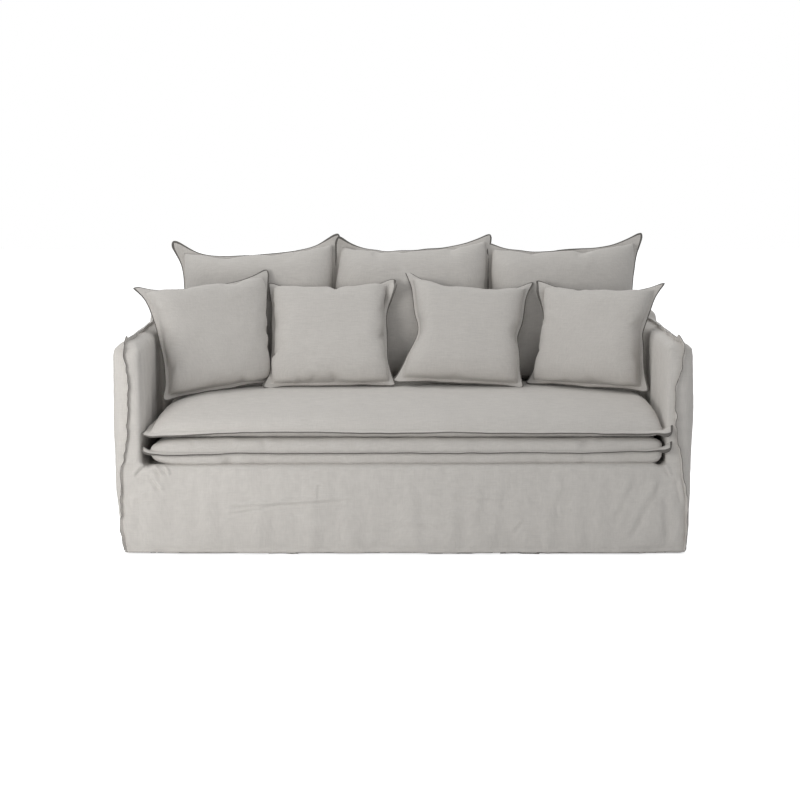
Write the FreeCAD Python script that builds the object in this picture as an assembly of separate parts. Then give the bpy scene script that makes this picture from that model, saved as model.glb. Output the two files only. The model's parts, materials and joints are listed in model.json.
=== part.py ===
import FreeCAD, Part
import math
import os

# A three-seat sofa in a loose linen slipcover. A timber frame stands on six low
# feet and carries zigzag springs, webbing and foam. The slipcover hangs over it
# to the floor. Two bench cushions, three large back cushions and four scatter
# cushions lie loose on it. All of them are flanged pillows with a filled insert.
# Millimetres. X runs to the sitter's left as seen from the front (to the right
# in a front view), Y runs to the back, Z is up. The origin is on the floor at
# the centre of the footprint. The front of the sofa faces -Y.

# Overall sizes
SOFA_WIDTH = 1840.0
SOFA_DEPTH = 900.0
ARM_HEIGHT_FRONT = 676.0
ARM_RISE = 16.0
BACK_ABOVE_ARM = 26.0
ARM_WIDTH = 88.0
DECK_HEIGHT = 280.0
BACK_DEPTH = 156.0
BACK_LEAN_DEG = 9.0

# Clearances
FIT_GAP = 0.3
OVERRUN = 5.0

# Slipcover
COVER_T = 3.0
HEM_GAP = 5.0
HEM_TAPER = 10.0
TAPER_TOP_HEIGHT = 430.0
CUSHION_OVERHANG = 8.0
ARM_ROUND_R = 36.0
ARM_NOSE_R = 60.0
BACK_ROUND_R = 34.0
SEAM_FLANGE_TOP_W = 14.0
SEAM_FLANGE_FRONT_W = 7.0
SKIRT_WAVE = 5.0
SKIRT_WAVE_COUNT = 7
SKIRT_POINTS_PER_WAVE = 6

# Padding
PAD_T = 12.0
BACK_FOAM_T = 36.0
DECK_FOAM_T = 25.0
INSULATOR_T = 6.0

# Timber frame
BOARD_T = 3.0
RAIL_T = 25.0
BRACE_HEIGHT = 130.0
BRACE_T = 25.0
BRACE_SPACING = 560.0
FRONT_POST_DEPTH = 70.0
ARM_RAIL_HEIGHT = 45.0
TOP_RAIL_HEIGHT = 45.0
UPRIGHT_T = 25.0
UPRIGHT_SPACING = 560.0
BLOCK_SIDE = 70.0
BLOCK_HEIGHT = 45.0

# Feet
FOOT_HEIGHT = 56.0
FOOT_TOP_R = 24.0
FOOT_BOTTOM_R = 19.0
GLIDE_T = 4.0
GLIDE_R = 16.0
FOOT_BOLT_R = 4.0
FOOT_BOLT_LENGTH = 60.0
BOLT_CLEARANCE = 0.1

# Bolts that hold the posts to the side rails
BOLT_R = 4.0
BOLT_HEAD_R = 8.0
BOLT_HEAD_T = 5.0
BOLT_HEIGHT_SHARES = (0.28, 0.72)

# Seat springs and webbing
WIRE_R = 1.9
SPRING_WIDTH = 50.0
SPRING_TURNS = 33
SPRING_COUNT = 9
SPRING_SIDE_GAP = 105.0
CLIP_LENGTH = 22.0
CLIP_WIDTH = 12.0
CLIP_HEIGHT = 5.0
WEB_WIDTH = 50.0
WEB_T = 2.0
WEB_COLUMNS = 9
WEB_ROW_SHARES = (0.20, 0.45, 0.70)
DUST_COVER_T = 1.0

# Cushion covers and inserts
CUSHION_WALL = 3.0
INSERT_GAP = 0.5
FLANGE_T = 4.0

# Bench cushions. Rolls are how far the rounding reaches in from the seam: at the
# left, the front, the right and the rear.
BENCH_SIDE_GAP = 10.0
BENCH_REAR_GAP = 2.0
BENCH_FLANGE = 24.0
BENCH_DRAW_IN = 8.0
BENCH_ROLLS = (170.0, 150.0, 170.0, 60.0)
LOWER_BENCH_UP = 45.0
LOWER_BENCH_DOWN = 40.0
UPPER_BENCH_UP = 72.0
UPPER_BENCH_DOWN = 32.0

# Back cushions. They fill the width between the arms, with their widths as shares of
# the middle one's, left to right.
BACK_CUSHION_HEIGHT = 518.0
BACK_CUSHION_FLANGE = 24.0
BACK_CUSHION_DRAW_IN = 22.0
BACK_CUSHION_FRONT = 88.0
BACK_CUSHION_REAR = 74.0
BACK_CUSHION_ROLLS = (165.0, 150.0, 165.0, 150.0)
BACK_CUSHION_GAP = 2.0
BACK_CUSHION_WIDTH_SHARES = (1.045, 1.0, 0.965)

# Scatter cushions. They stand in a row between the arms. Left to right: width as a
# share of the second one's, space left behind, lean, turn about the upright and turn
# in the cushion's own plane, in degrees.
SCATTER_HEIGHT = 425.0
SCATTER_FLANGE = 22.0
SCATTER_DRAW_IN = 24.0
SCATTER_FRONT = 62.0
SCATTER_REAR = 52.0
SCATTER_ROLLS = (130.0, 125.0, 130.0, 125.0)
SCATTER_GAP = 4.0
SCATTER_END_GAP = 16.0
SCATTER_WIDTH_SHARES = (0.93, 1.0, 1.0, 0.93)
SCATTER_REST_GAPS = (60.0, 1.5, 1.5, 35.0)
SCATTER_LEANS_DEG = (20.0, 28.0, 28.0, 18.0)
SCATTER_YAWS_DEG = (30.0, 0.0, 0.0, -27.0)
SCATTER_TURNS_DEG = (0.0, 0.6, -3.0, 0.0)

# A pillow's crown, from the seam to its flat top: shares of the crown's height,
# and how far the sides and the corners have come in there, as shares of the roll.
HEIGHT_SHARES = (0.0, 0.40, 0.72, 0.92, 1.0)
SIDE_SHARES = (0.0, 0.06, 0.25, 0.58, 1.0)
CORNER_SHARES = (0.0, 0.20, 0.46, 0.76, 1.08)

# Places worked out from the sizes
ARM_HEIGHT_REAR = ARM_HEIGHT_FRONT + ARM_RISE
BACK_HEIGHT = ARM_HEIGHT_REAR + BACK_ABOVE_ARM
SEAT_WELL_DEPTH = SOFA_DEPTH - BACK_DEPTH
HALF_WIDTH = SOFA_WIDTH / 2
ARM_INNER_X = HALF_WIDTH - ARM_WIDTH
FRONT_Y = -SOFA_DEPTH / 2 + CUSHION_OVERHANG
REAR_Y = SOFA_DEPTH / 2
BACK_FOOT_Y = REAR_Y - BACK_DEPTH
BACK_SLOPE = math.tan(math.radians(BACK_LEAN_DEG))
BACK_COS = math.cos(math.radians(BACK_LEAN_DEG))
SKIN = COVER_T + FIT_GAP
CORE_INSET = COVER_T + PAD_T
POST_INNER_X = ARM_INNER_X + CORE_INSET + BOARD_T
POST_OUTER_X = HALF_WIDTH - CORE_INSET - BOARD_T
POST_MIDDLE_X = (POST_INNER_X + POST_OUTER_X) / 2
POST_FRONT_Y = FRONT_Y + CORE_INSET
POST_REAR_Y = REAR_Y - COVER_T - BOARD_T
RAIL_BOTTOM = GLIDE_T + FOOT_HEIGHT
DECK_FOAM_BOTTOM = DECK_HEIGHT - SKIN - DECK_FOAM_T
SPRING_ZONE_TOP = DECK_FOAM_BOTTOM - INSULATOR_T
RAIL_TOP = SPRING_ZONE_TOP - FIT_GAP - CLIP_HEIGHT
WOOD_INSET = COVER_T + BACK_FOAM_T + 2 * WEB_T + FIT_GAP
BACK_RAIL_Y = BACK_FOOT_Y + WOOD_INSET
BACK_WOOD_TOP = BACK_HEIGHT - BACK_ROUND_R
BENCH_WIDTH = 2 * (ARM_INNER_X - BENCH_SIDE_GAP)
BENCH_DEPTH = SEAT_WELL_DEPTH - BENCH_REAR_GAP
BACK_ROW_WIDTH = 2 * ARM_INNER_X - (len(BACK_CUSHION_WIDTH_SHARES) + 1) * BACK_CUSHION_GAP
BACK_CUSHION_WIDTH = BACK_ROW_WIDTH / sum(BACK_CUSHION_WIDTH_SHARES)
SCATTER_ROW_WIDTH = (
    2 * (ARM_INNER_X - SCATTER_END_GAP) - (len(SCATTER_WIDTH_SHARES) - 1) * SCATTER_GAP
)


def back_face_y(z, inset=0.0):
    """Y of the leaning front face of the backrest at height z, moved in by an inset along Y."""
    return BACK_FOOT_Y + (z - DECK_HEIGHT) * BACK_SLOPE + inset


def arm_top_z(y):
    """Height of the arm's top line at a place along the depth."""
    run = (y - FRONT_Y) / (REAR_Y - FRONT_Y)
    return ARM_HEIGHT_FRONT + run * (ARM_HEIGHT_REAR - ARM_HEIGHT_FRONT)


def box(x0, x1, y0, y1, z0, z1):
    """A box between two places on each axis."""
    return Part.makeBox(x1 - x0, y1 - y0, z1 - z0, FreeCAD.Vector(x0, y0, z0))


def rounded(points, radii):
    """Edges of a closed outline whose corners have the given radii, as 2D lines and arcs."""
    count = len(points)
    ends = []
    for i in range(count):
        here = FreeCAD.Vector(*points[i], 0)
        back = FreeCAD.Vector(*points[i - 1], 0) - here
        ahead = FreeCAD.Vector(*points[(i + 1) % count], 0) - here
        if radii[i] == 0:
            ends.append((here, None, here))
            continue
        half = back.getAngle(ahead) / 2
        reach = radii[i] / math.tan(half)
        start = here + back.normalize() * reach
        stop = here + ahead.normalize() * reach
        middle = (back + ahead).normalize() * (radii[i] / math.sin(half) - radii[i])
        ends.append((start, here + middle, stop))
    edges = []
    for i in range(count):
        start, middle, stop = ends[i]
        if middle is not None:
            edges.append(Part.Arc(start, middle, stop).toShape())
        edges.append(Part.LineSegment(stop, ends[(i + 1) % count][0]).toShape())
    return edges


def plate(points, radii=None):
    """A flat face in the XY plane with rounded corners."""
    return Part.Face(Part.Wire(rounded(points, radii or [0] * len(points))))


def prism_yz(points, x0, x1, radii=None):
    """An outline of (y, z) points, run along X from x0 to x1."""
    face = plate(points, radii)
    face.Placement = FreeCAD.Placement(
        FreeCAD.Vector(x0, 0, 0), FreeCAD.Rotation(FreeCAD.Vector(1, 1, 1), 120)
    )
    return face.extrude(FreeCAD.Vector(x1 - x0, 0, 0))


def prism_xz(points, y0, y1, radii=None):
    """An outline of (x, z) points, run along Y from y0 to y1."""
    face = plate(points, radii)
    face.Placement = FreeCAD.Placement(
        FreeCAD.Vector(0, y0, 0), FreeCAD.Rotation(FreeCAD.Vector(1, 0, 0), 90)
    )
    return face.extrude(FreeCAD.Vector(0, y1 - y0, 0))


def prism_xy(points, z0, z1, radii=None):
    """An outline of (x, y) points, run along Z from z0 to z1."""
    face = plate(points, radii)
    face.translate(FreeCAD.Vector(0, 0, z0))
    return face.extrude(FreeCAD.Vector(0, 0, z1 - z0))


def rod(radius, start, stop):
    """A round bar between two points."""
    way = FreeCAD.Vector(*stop) - FreeCAD.Vector(*start)
    return Part.makeCylinder(radius, way.Length, FreeCAD.Vector(*start), way)


def mirrored(shape):
    """The same shape on the other side of the sofa."""
    return shape.mirror(FreeCAD.Vector(0, 0, 0), FreeCAD.Vector(1, 0, 0))


def solids_of(shape):
    """A compound of the solids in a shape, without loose faces."""
    return Part.makeCompound(shape.Solids)


def arm_block(inset, rear=REAR_Y, bottom=HEM_GAP):
    """The right arm down to the hem, rounded on top and in front, with its faces moved in."""
    front = FRONT_Y + inset
    inner = ARM_INNER_X + inset
    outer = HALF_WIDTH - inset
    round_r = ARM_ROUND_R - inset
    rise = ARM_HEIGHT_REAR - ARM_HEIGHT_FRONT
    top = ARM_HEIGHT_FRONT - inset
    outline = [(inner, -rise), (outer, -rise), (outer, top), (inner, top)]
    face = plate(outline, [0, 0, round_r, round_r])
    face.Placement = FreeCAD.Placement(
        FreeCAD.Vector(0, FRONT_Y, 0), FreeCAD.Rotation(FreeCAD.Vector(1, 0, 0), 90)
    )
    section = face.extrude(FreeCAD.Vector(0, REAR_Y - FRONT_Y, rise))
    profile = prism_yz(
        [
            (front, bottom),
            (rear, bottom),
            (rear, arm_top_z(rear) - inset),
            (front, arm_top_z(front) - inset),
        ],
        inner,
        outer,
        [0, 0, 0, ARM_NOSE_R - inset],
    )
    corners = [(inner, front), (outer, front), (outer, rear), (inner, rear)]
    plan = prism_xy(corners, DECK_HEIGHT, ARM_HEIGHT_REAR, [round_r, round_r, 0, 0]).fuse(
        prism_xy(corners, bottom, DECK_HEIGHT, [0, round_r, 0, 0])
    )
    return section.common(profile).common(plan).common(taper_zone(inset))


def taper_zone(inset):
    """The space between the covers' outer side faces, which come in towards the hem."""
    half = HALF_WIDTH - inset
    hem = half - HEM_TAPER
    low = HEM_GAP
    return prism_xz(
        [
            (-hem, 0),
            (hem, 0),
            (hem, low),
            (half, TAPER_TOP_HEIGHT),
            (half, BACK_HEIGHT),
            (-half, BACK_HEIGHT),
            (-half, TAPER_TOP_HEIGHT),
            (-hem, low),
        ],
        -SOFA_DEPTH,
        SOFA_DEPTH,
    )


def back_block(inset, bottom=HEM_GAP):
    """The back over the whole width down to the hem, with its faces moved in."""
    top = BACK_HEIGHT - inset
    half = HALF_WIDTH - inset
    round_r = BACK_ROUND_R - inset
    profile = prism_yz(
        [
            (BACK_FOOT_Y + inset, bottom),
            (REAR_Y - inset, bottom),
            (REAR_Y - inset, top),
            (back_face_y(top, inset), top),
            (BACK_FOOT_Y + inset, DECK_HEIGHT),
        ],
        -half,
        half,
        [0, 0, round_r, round_r, 0],
    )
    section = prism_xz(
        [(-half, 0), (half, 0), (half, top), (-half, top)],
        -SOFA_DEPTH,
        SOFA_DEPTH,
        [0, 0, round_r, round_r],
    )
    return profile.common(section).common(taper_zone(inset))


def back_zone(inset=0.0):
    """All the space behind the front face of the back, moved in."""
    return prism_yz(
        [
            (BACK_FOOT_Y + inset, 0),
            (SOFA_DEPTH, 0),
            (SOFA_DEPTH, BACK_HEIGHT),
            (back_face_y(BACK_HEIGHT, inset), BACK_HEIGHT),
            (BACK_FOOT_Y + inset, DECK_HEIGHT),
        ],
        -SOFA_WIDTH,
        SOFA_WIDTH,
    )


def above(height):
    """All the space from a height up to the top of the back."""
    return box(-SOFA_WIDTH, SOFA_WIDTH, -SOFA_DEPTH, SOFA_DEPTH, height, BACK_HEIGHT)


def arm_core(inset, side_inset, bottom, rear):
    """The flat core of the right arm, between its boards, which follows the arm's outline from the side."""
    return prism_yz(
        [
            (FRONT_Y + inset, bottom),
            (rear, bottom),
            (rear, arm_top_z(rear) - inset),
            (FRONT_Y + inset, arm_top_z(FRONT_Y) - inset),
        ],
        ARM_INNER_X + side_inset,
        HALF_WIDTH - side_inset,
        [0, 0, 0, ARM_NOSE_R - inset],
    )


def make_frame():
    """The timber frame: the seat box, the posts, the arm rails and the back."""
    parts = {}
    front_rail_y = POST_FRONT_Y + RAIL_T
    inner_rail_x = POST_INNER_X - RAIL_T
    parts["front_rail"] = box(
        -POST_INNER_X, POST_INNER_X, POST_FRONT_Y, front_rail_y, RAIL_BOTTOM, RAIL_TOP
    )
    parts["back_rail"] = box(
        -inner_rail_x, inner_rail_x, BACK_RAIL_Y - RAIL_T, BACK_RAIL_Y, RAIL_BOTTOM, RAIL_TOP
    )
    side_rail = box(inner_rail_x, POST_INNER_X, front_rail_y, POST_REAR_Y, RAIL_BOTTOM, RAIL_TOP)
    braces = [
        box(
            x - BRACE_T / 2,
            x + BRACE_T / 2,
            front_rail_y,
            BACK_RAIL_Y - RAIL_T,
            RAIL_BOTTOM,
            RAIL_BOTTOM + BRACE_HEIGHT,
        )
        for x in (-BRACE_SPACING / 2, BRACE_SPACING / 2)
    ]
    parts["seat_braces"] = Part.makeCompound(braces)
    parts["frame_blocks"] = Part.makeCompound(make_blocks(inner_rail_x, front_rail_y))

    core = arm_core(CORE_INSET, CORE_INSET + BOARD_T, RAIL_BOTTOM, POST_REAR_Y)
    rail_floor = under_arm_rail()
    post_zone = box(
        POST_INNER_X,
        POST_OUTER_X,
        POST_FRONT_Y,
        POST_FRONT_Y + FRONT_POST_DEPTH,
        RAIL_BOTTOM,
        ARM_HEIGHT_REAR,
    )
    front_post = core.common(rail_floor).common(post_zone)
    rear_post = make_upright(POST_INNER_X, POST_OUTER_X, BACK_WOOD_TOP)
    arm_rail = core.cut(rail_floor).cut(back_zone(WOOD_INSET))
    bolts, bolt_holes = make_bolts(inner_rail_x)
    foot_holes = Part.makeCompound([h for _, _, h in make_feet()])
    parts["side_rail_right"] = side_rail.cut(bolt_holes)
    parts["front_post_right"] = front_post.cut(bolt_holes).cut(foot_holes)
    parts["rear_post_right"] = rear_post.cut(bolt_holes).cut(foot_holes)
    parts["arm_rail_right"] = arm_rail
    parts["arm_boards_right"] = make_arm_boards()
    for name in ("side_rail", "front_post", "rear_post", "arm_rail", "arm_boards"):
        parts[name + "_left"] = mirrored(parts[name + "_right"])
    parts["post_bolts"] = Part.makeCompound(bolts + [mirrored(b) for b in bolts])
    parts["frame_blocks"] = solids_of(parts["frame_blocks"].cut(foot_holes))

    parts["back_uprights"] = Part.makeCompound(
        [
            make_upright(x - UPRIGHT_T / 2, x + UPRIGHT_T / 2, BACK_WOOD_TOP - TOP_RAIL_HEIGHT)
            for x in (-UPRIGHT_SPACING / 2, UPRIGHT_SPACING / 2)
        ]
    )
    parts["back_top_rail"] = prism_yz(
        [
            (back_face_y(BACK_WOOD_TOP - TOP_RAIL_HEIGHT, WOOD_INSET), BACK_WOOD_TOP - TOP_RAIL_HEIGHT),
            (POST_REAR_Y, BACK_WOOD_TOP - TOP_RAIL_HEIGHT),
            (POST_REAR_Y, BACK_WOOD_TOP),
            (back_face_y(BACK_WOOD_TOP, WOOD_INSET), BACK_WOOD_TOP),
        ],
        -POST_INNER_X,
        POST_INNER_X,
    )
    parts["rear_board"] = box(
        -POST_OUTER_X, POST_OUTER_X, POST_REAR_Y, POST_REAR_Y + BOARD_T, RAIL_BOTTOM, BACK_WOOD_TOP
    )
    return parts


def under_arm_rail():
    """The space below the arm rails, which slope up to the back like the arms' tops."""
    drop = CORE_INSET + ARM_RAIL_HEIGHT
    return prism_yz(
        [
            (-SOFA_DEPTH, 0),
            (SOFA_DEPTH, 0),
            (SOFA_DEPTH, arm_top_z(SOFA_DEPTH) - drop),
            (-SOFA_DEPTH, arm_top_z(-SOFA_DEPTH) - drop),
        ],
        0,
        HALF_WIDTH,
    )


def upright_outline(top):
    """Side view of an upright: it follows the back rail below and the leaning backrest above."""
    return [
        (BACK_RAIL_Y, RAIL_BOTTOM),
        (POST_REAR_Y, RAIL_BOTTOM),
        (POST_REAR_Y, top),
        (back_face_y(top, WOOD_INSET), top),
        (BACK_RAIL_Y, DECK_HEIGHT),
    ]


def make_upright(x0, x1, top):
    """One upright board of the back."""
    return prism_yz(upright_outline(top), x0, x1)


def make_arm_boards():
    """The thin boards on both faces of the right arm's frame."""
    inset = CORE_INSET
    inner = arm_core(inset, inset, DECK_HEIGHT, BACK_FOOT_Y)
    outer = arm_core(inset, inset, RAIL_BOTTOM, BACK_RAIL_Y)
    return Part.makeCompound(
        [
            inner.common(box(ARM_INNER_X, POST_INNER_X, FRONT_Y, REAR_Y, RAIL_BOTTOM, BACK_HEIGHT)),
            outer.common(box(POST_OUTER_X, HALF_WIDTH, FRONT_Y, REAR_Y, RAIL_BOTTOM, BACK_HEIGHT)),
        ]
    )


def make_blocks(inner_rail_x, front_rail_y):
    """Glued corner blocks of the seat box, and two blocks in the middle that carry feet."""
    blocks = []
    top = RAIL_BOTTOM + BLOCK_HEIGHT
    rear_y = BACK_RAIL_Y - RAIL_T
    for side in (-1, 1):
        x = side * inner_rail_x
        for y, way in ((front_rail_y, 1), (rear_y, -1)):
            corner = [(x, y), (x - side * BLOCK_SIDE, y), (x, y + way * BLOCK_SIDE)]
            blocks.append(prism_xy(corner, RAIL_BOTTOM, top))
    for y0, y1 in ((front_rail_y, front_rail_y + BLOCK_SIDE), (rear_y - BLOCK_SIDE, rear_y)):
        blocks.append(box(-BLOCK_SIDE / 2, BLOCK_SIDE / 2, y0, y1, RAIL_BOTTOM, top))
    return blocks


def foot_places():
    """Places of the six feet: under the four posts and under the two middle blocks."""
    front = POST_FRONT_Y + FRONT_POST_DEPTH / 2
    rear = (BACK_RAIL_Y + POST_REAR_Y) / 2
    middle_front = POST_FRONT_Y + RAIL_T + BLOCK_SIDE / 2
    middle_rear = BACK_RAIL_Y - RAIL_T - BLOCK_SIDE / 2
    corners = [(s * POST_MIDDLE_X, y) for s in (-1, 1) for y in (front, rear)]
    return corners + [(0, middle_front), (0, middle_rear)]


def make_feet():
    """Each foot, its glide and its hanger bolt, with the bolt's hole."""
    made = []
    for x, y in foot_places():
        foot = Part.makeCone(FOOT_BOTTOM_R, FOOT_TOP_R, FOOT_HEIGHT, FreeCAD.Vector(x, y, GLIDE_T))
        low = RAIL_BOTTOM - FOOT_BOLT_LENGTH / 2
        high = RAIL_BOTTOM + FOOT_BOLT_LENGTH / 2
        bolt = rod(FOOT_BOLT_R, (x, y, low), (x, y, high))
        hole = rod(
            FOOT_BOLT_R + BOLT_CLEARANCE,
            (x, y, low - BOLT_CLEARANCE),
            (x, y, high + BOLT_CLEARANCE),
        )
        made.append((foot.cut(hole), bolt, hole))
    return made


def make_bolts(inner_rail_x):
    """Bolts from the right posts into the side rail, and the holes that they need."""
    bolts, holes = [], []
    rear_y = (BACK_RAIL_Y + POST_REAR_Y) / 2 + FOOT_TOP_R
    front_y = POST_FRONT_Y + RAIL_T + BOLT_HEAD_R * 2
    for y in (front_y, rear_y):
        for share in BOLT_HEIGHT_SHARES:
            z = RAIL_BOTTOM + share * (RAIL_TOP - RAIL_BOTTOM)
            ends = (inner_rail_x, y, z), (POST_OUTER_X, y, z)
            head = (POST_OUTER_X - BOLT_HEAD_T, y, z)
            bolts.append(rod(BOLT_R, *ends).fuse(rod(BOLT_HEAD_R, head, ends[1])))
            shank_hole = rod(BOLT_R + BOLT_CLEARANCE, *ends)
            head_hole = rod(
                BOLT_HEAD_R + BOLT_CLEARANCE, (head[0] - BOLT_CLEARANCE, y, z), ends[1]
            )
            holes.append(shank_hole.fuse(head_hole))
    return bolts, Part.makeCompound(holes)


def make_foot_nodes():
    """The feet with their glides and bolts, and the dust cover with its cut-outs round them."""
    feet = make_feet()
    glides = [
        Part.makeCylinder(GLIDE_R, GLIDE_T, FreeCAD.Vector(x, y, 0)) for x, y in foot_places()
    ]
    dust = box(
        -POST_OUTER_X,
        POST_OUTER_X,
        POST_FRONT_Y,
        POST_REAR_Y,
        RAIL_BOTTOM - DUST_COVER_T,
        RAIL_BOTTOM,
    )
    for x, y in foot_places():
        dust = dust.cut(
            Part.makeCylinder(
                FOOT_TOP_R + FIT_GAP, FOOT_HEIGHT, FreeCAD.Vector(x, y, RAIL_BOTTOM - FOOT_HEIGHT / 2)
            )
        )
    return {
        "feet": Part.makeCompound([f for f, _, _ in feet]),
        "foot_glides": Part.makeCompound(glides),
        "foot_bolts": Part.makeCompound([b for _, b, _ in feet]),
        "dust_cover": dust,
    }


def spring_path(x, y0, pitch):
    """A zigzag wire at one place across the seat: straight runs joined by half turns."""
    z = RAIL_TOP + WIRE_R
    half = SPRING_WIDTH / 2 - pitch / 2
    edges = []
    for i in range(SPRING_TURNS + 1):
        y = y0 + i * pitch
        way = 1 if i % 2 == 0 else -1
        start = FreeCAD.Vector(x - way * half, y, z)
        stop = FreeCAD.Vector(x + way * half, y, z)
        edges.append(Part.LineSegment(start, stop).toShape())
        if i < SPRING_TURNS:
            tip = FreeCAD.Vector(x + way * (half + pitch / 2), y + pitch / 2, z)
            over = FreeCAD.Vector(stop.x, y + pitch, z)
            edges.append(Part.Arc(stop, tip, over).toShape())
    return Part.Wire(edges)


def make_springs():
    """The zigzag seat springs, which lie on the front and back rails, and the clips on their ends."""
    first_y = POST_FRONT_Y + RAIL_T / 2
    last_y = BACK_RAIL_Y - RAIL_T / 2
    pitch = (last_y - first_y) / SPRING_TURNS
    reach = POST_INNER_X - RAIL_T - SPRING_SIDE_GAP
    springs, clips = [], []
    for i in range(SPRING_COUNT):
        x = (2 * i / (SPRING_COUNT - 1) - 1) * reach
        path = spring_path(x, first_y, pitch)
        start = path.OrderedVertexes[0].Point
        ring = Part.Wire(Part.Circle(start, FreeCAD.Vector(1, 0, 0), WIRE_R).toShape())
        springs.append(path.makePipeShell([ring], True, False))
        for y in (first_y, last_y):
            clip = box(
                x - CLIP_LENGTH / 2,
                x + CLIP_LENGTH / 2,
                y - CLIP_WIDTH / 2,
                y + CLIP_WIDTH / 2,
                RAIL_TOP,
                RAIL_TOP + CLIP_HEIGHT,
            )
            z = RAIL_TOP + WIRE_R
            hole = rod(WIRE_R + BOLT_CLEARANCE, (x - SPRING_WIDTH, y, z), (x + SPRING_WIDTH, y, z))
            clips.append(clip.cut(hole))
    insulator = box(
        -ARM_INNER_X,
        ARM_INNER_X,
        POST_FRONT_Y,
        BACK_RAIL_Y - RAIL_T,
        SPRING_ZONE_TOP,
        DECK_FOAM_BOTTOM,
    )
    return {
        "seat_springs": Part.makeCompound(springs),
        "spring_clips": Part.makeCompound(clips),
        "spring_insulator": insulator,
    }


def make_webbing():
    """Elastic straps on the front of the back frame: upright ones, and level ones over them."""
    top = BACK_WOOD_TOP
    front = WOOD_INSET - WEB_T
    pitch = 2 * POST_INNER_X / WEB_COLUMNS
    straps = []
    for i in range(WEB_COLUMNS):
        x = (i - (WEB_COLUMNS - 1) / 2) * pitch
        outline = [
            (BACK_FOOT_Y + front, RAIL_TOP),
            (BACK_RAIL_Y, RAIL_TOP),
            (BACK_RAIL_Y, DECK_HEIGHT),
            (back_face_y(top, WOOD_INSET), top),
            (back_face_y(top, front), top),
            (BACK_FOOT_Y + front, DECK_HEIGHT),
        ]
        straps.append(prism_yz(outline, x - WEB_WIDTH / 2, x + WEB_WIDTH / 2))
    for share in WEB_ROW_SHARES:
        low = DECK_HEIGHT + share * (top - DECK_HEIGHT)
        high = low + WEB_WIDTH
        outline = [
            (back_face_y(low, front - WEB_T), low),
            (back_face_y(low, front), low),
            (back_face_y(high, front), high),
            (back_face_y(high, front - WEB_T), high),
        ]
        straps.append(prism_yz(outline, -POST_OUTER_X, POST_OUTER_X))
    return {"back_webbing": Part.makeCompound(straps)}


def make_padding():
    """Foam on the arms, the back, the seat deck and the front rail."""
    core = arm_core(CORE_INSET - FIT_GAP, CORE_INSET, 0, REAR_Y)
    arm_foam = arm_block(SKIN).cut(core).cut(back_zone()).common(above(DECK_HEIGHT))
    arm = arm_block(0)
    wood_zone = back_zone(SKIN + BACK_FOAM_T).cut(above(BACK_WOOD_TOP))
    back_foam = back_block(SKIN).cut(wood_zone).cut(arm).cut(mirrored(arm))
    pad_half = HALF_WIDTH - ARM_ROUND_R
    deck_top = DECK_HEIGHT - SKIN
    return {
        "arm_foam_right": arm_foam,
        "arm_foam_left": mirrored(arm_foam),
        "back_foam": back_foam.common(above(DECK_HEIGHT)),
        "deck_foam": box(
            -ARM_INNER_X, ARM_INNER_X, POST_FRONT_Y, BACK_FOOT_Y, DECK_FOAM_BOTTOM, deck_top
        ),
        "front_pad": box(-pad_half, pad_half, FRONT_Y + SKIN, POST_FRONT_Y, RAIL_BOTTOM, deck_top),
    }


def skirt_edge(drop_share, z, inset):
    """One level line of the front skirt, straight at the top and waving at the hem."""
    steps = SKIRT_WAVE_COUNT * SKIRT_POINTS_PER_WAVE
    points = []
    for i in range(steps + 1):
        run = i / steps
        wave = math.sin(math.pi * SKIRT_WAVE_COUNT * run) ** 2
        x = (2 * run - 1) * ARM_INNER_X
        points.append(FreeCAD.Vector(x, FRONT_Y + inset - SKIRT_WAVE * drop_share * wave, z))
    curve = Part.BSplineCurve()
    curve.interpolate(points)
    return curve.toShape()


def make_front_skirt():
    """The front panel between the arms, which hangs to the floor in shallow folds."""
    rings = []
    for drop_share, z in ((1.0, HEM_GAP), (0.0, DECK_HEIGHT)):
        front = skirt_edge(drop_share, z, 0)
        rear = skirt_edge(drop_share, z, COVER_T)
        ends = [
            Part.LineSegment(front.valueAt(e), rear.valueAt(e)).toShape()
            for e in (front.FirstParameter, front.LastParameter)
        ]
        rings.append(Part.Wire([front, ends[1], rear, ends[0]]))
    return Part.makeLoft(rings, True, True)


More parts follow.
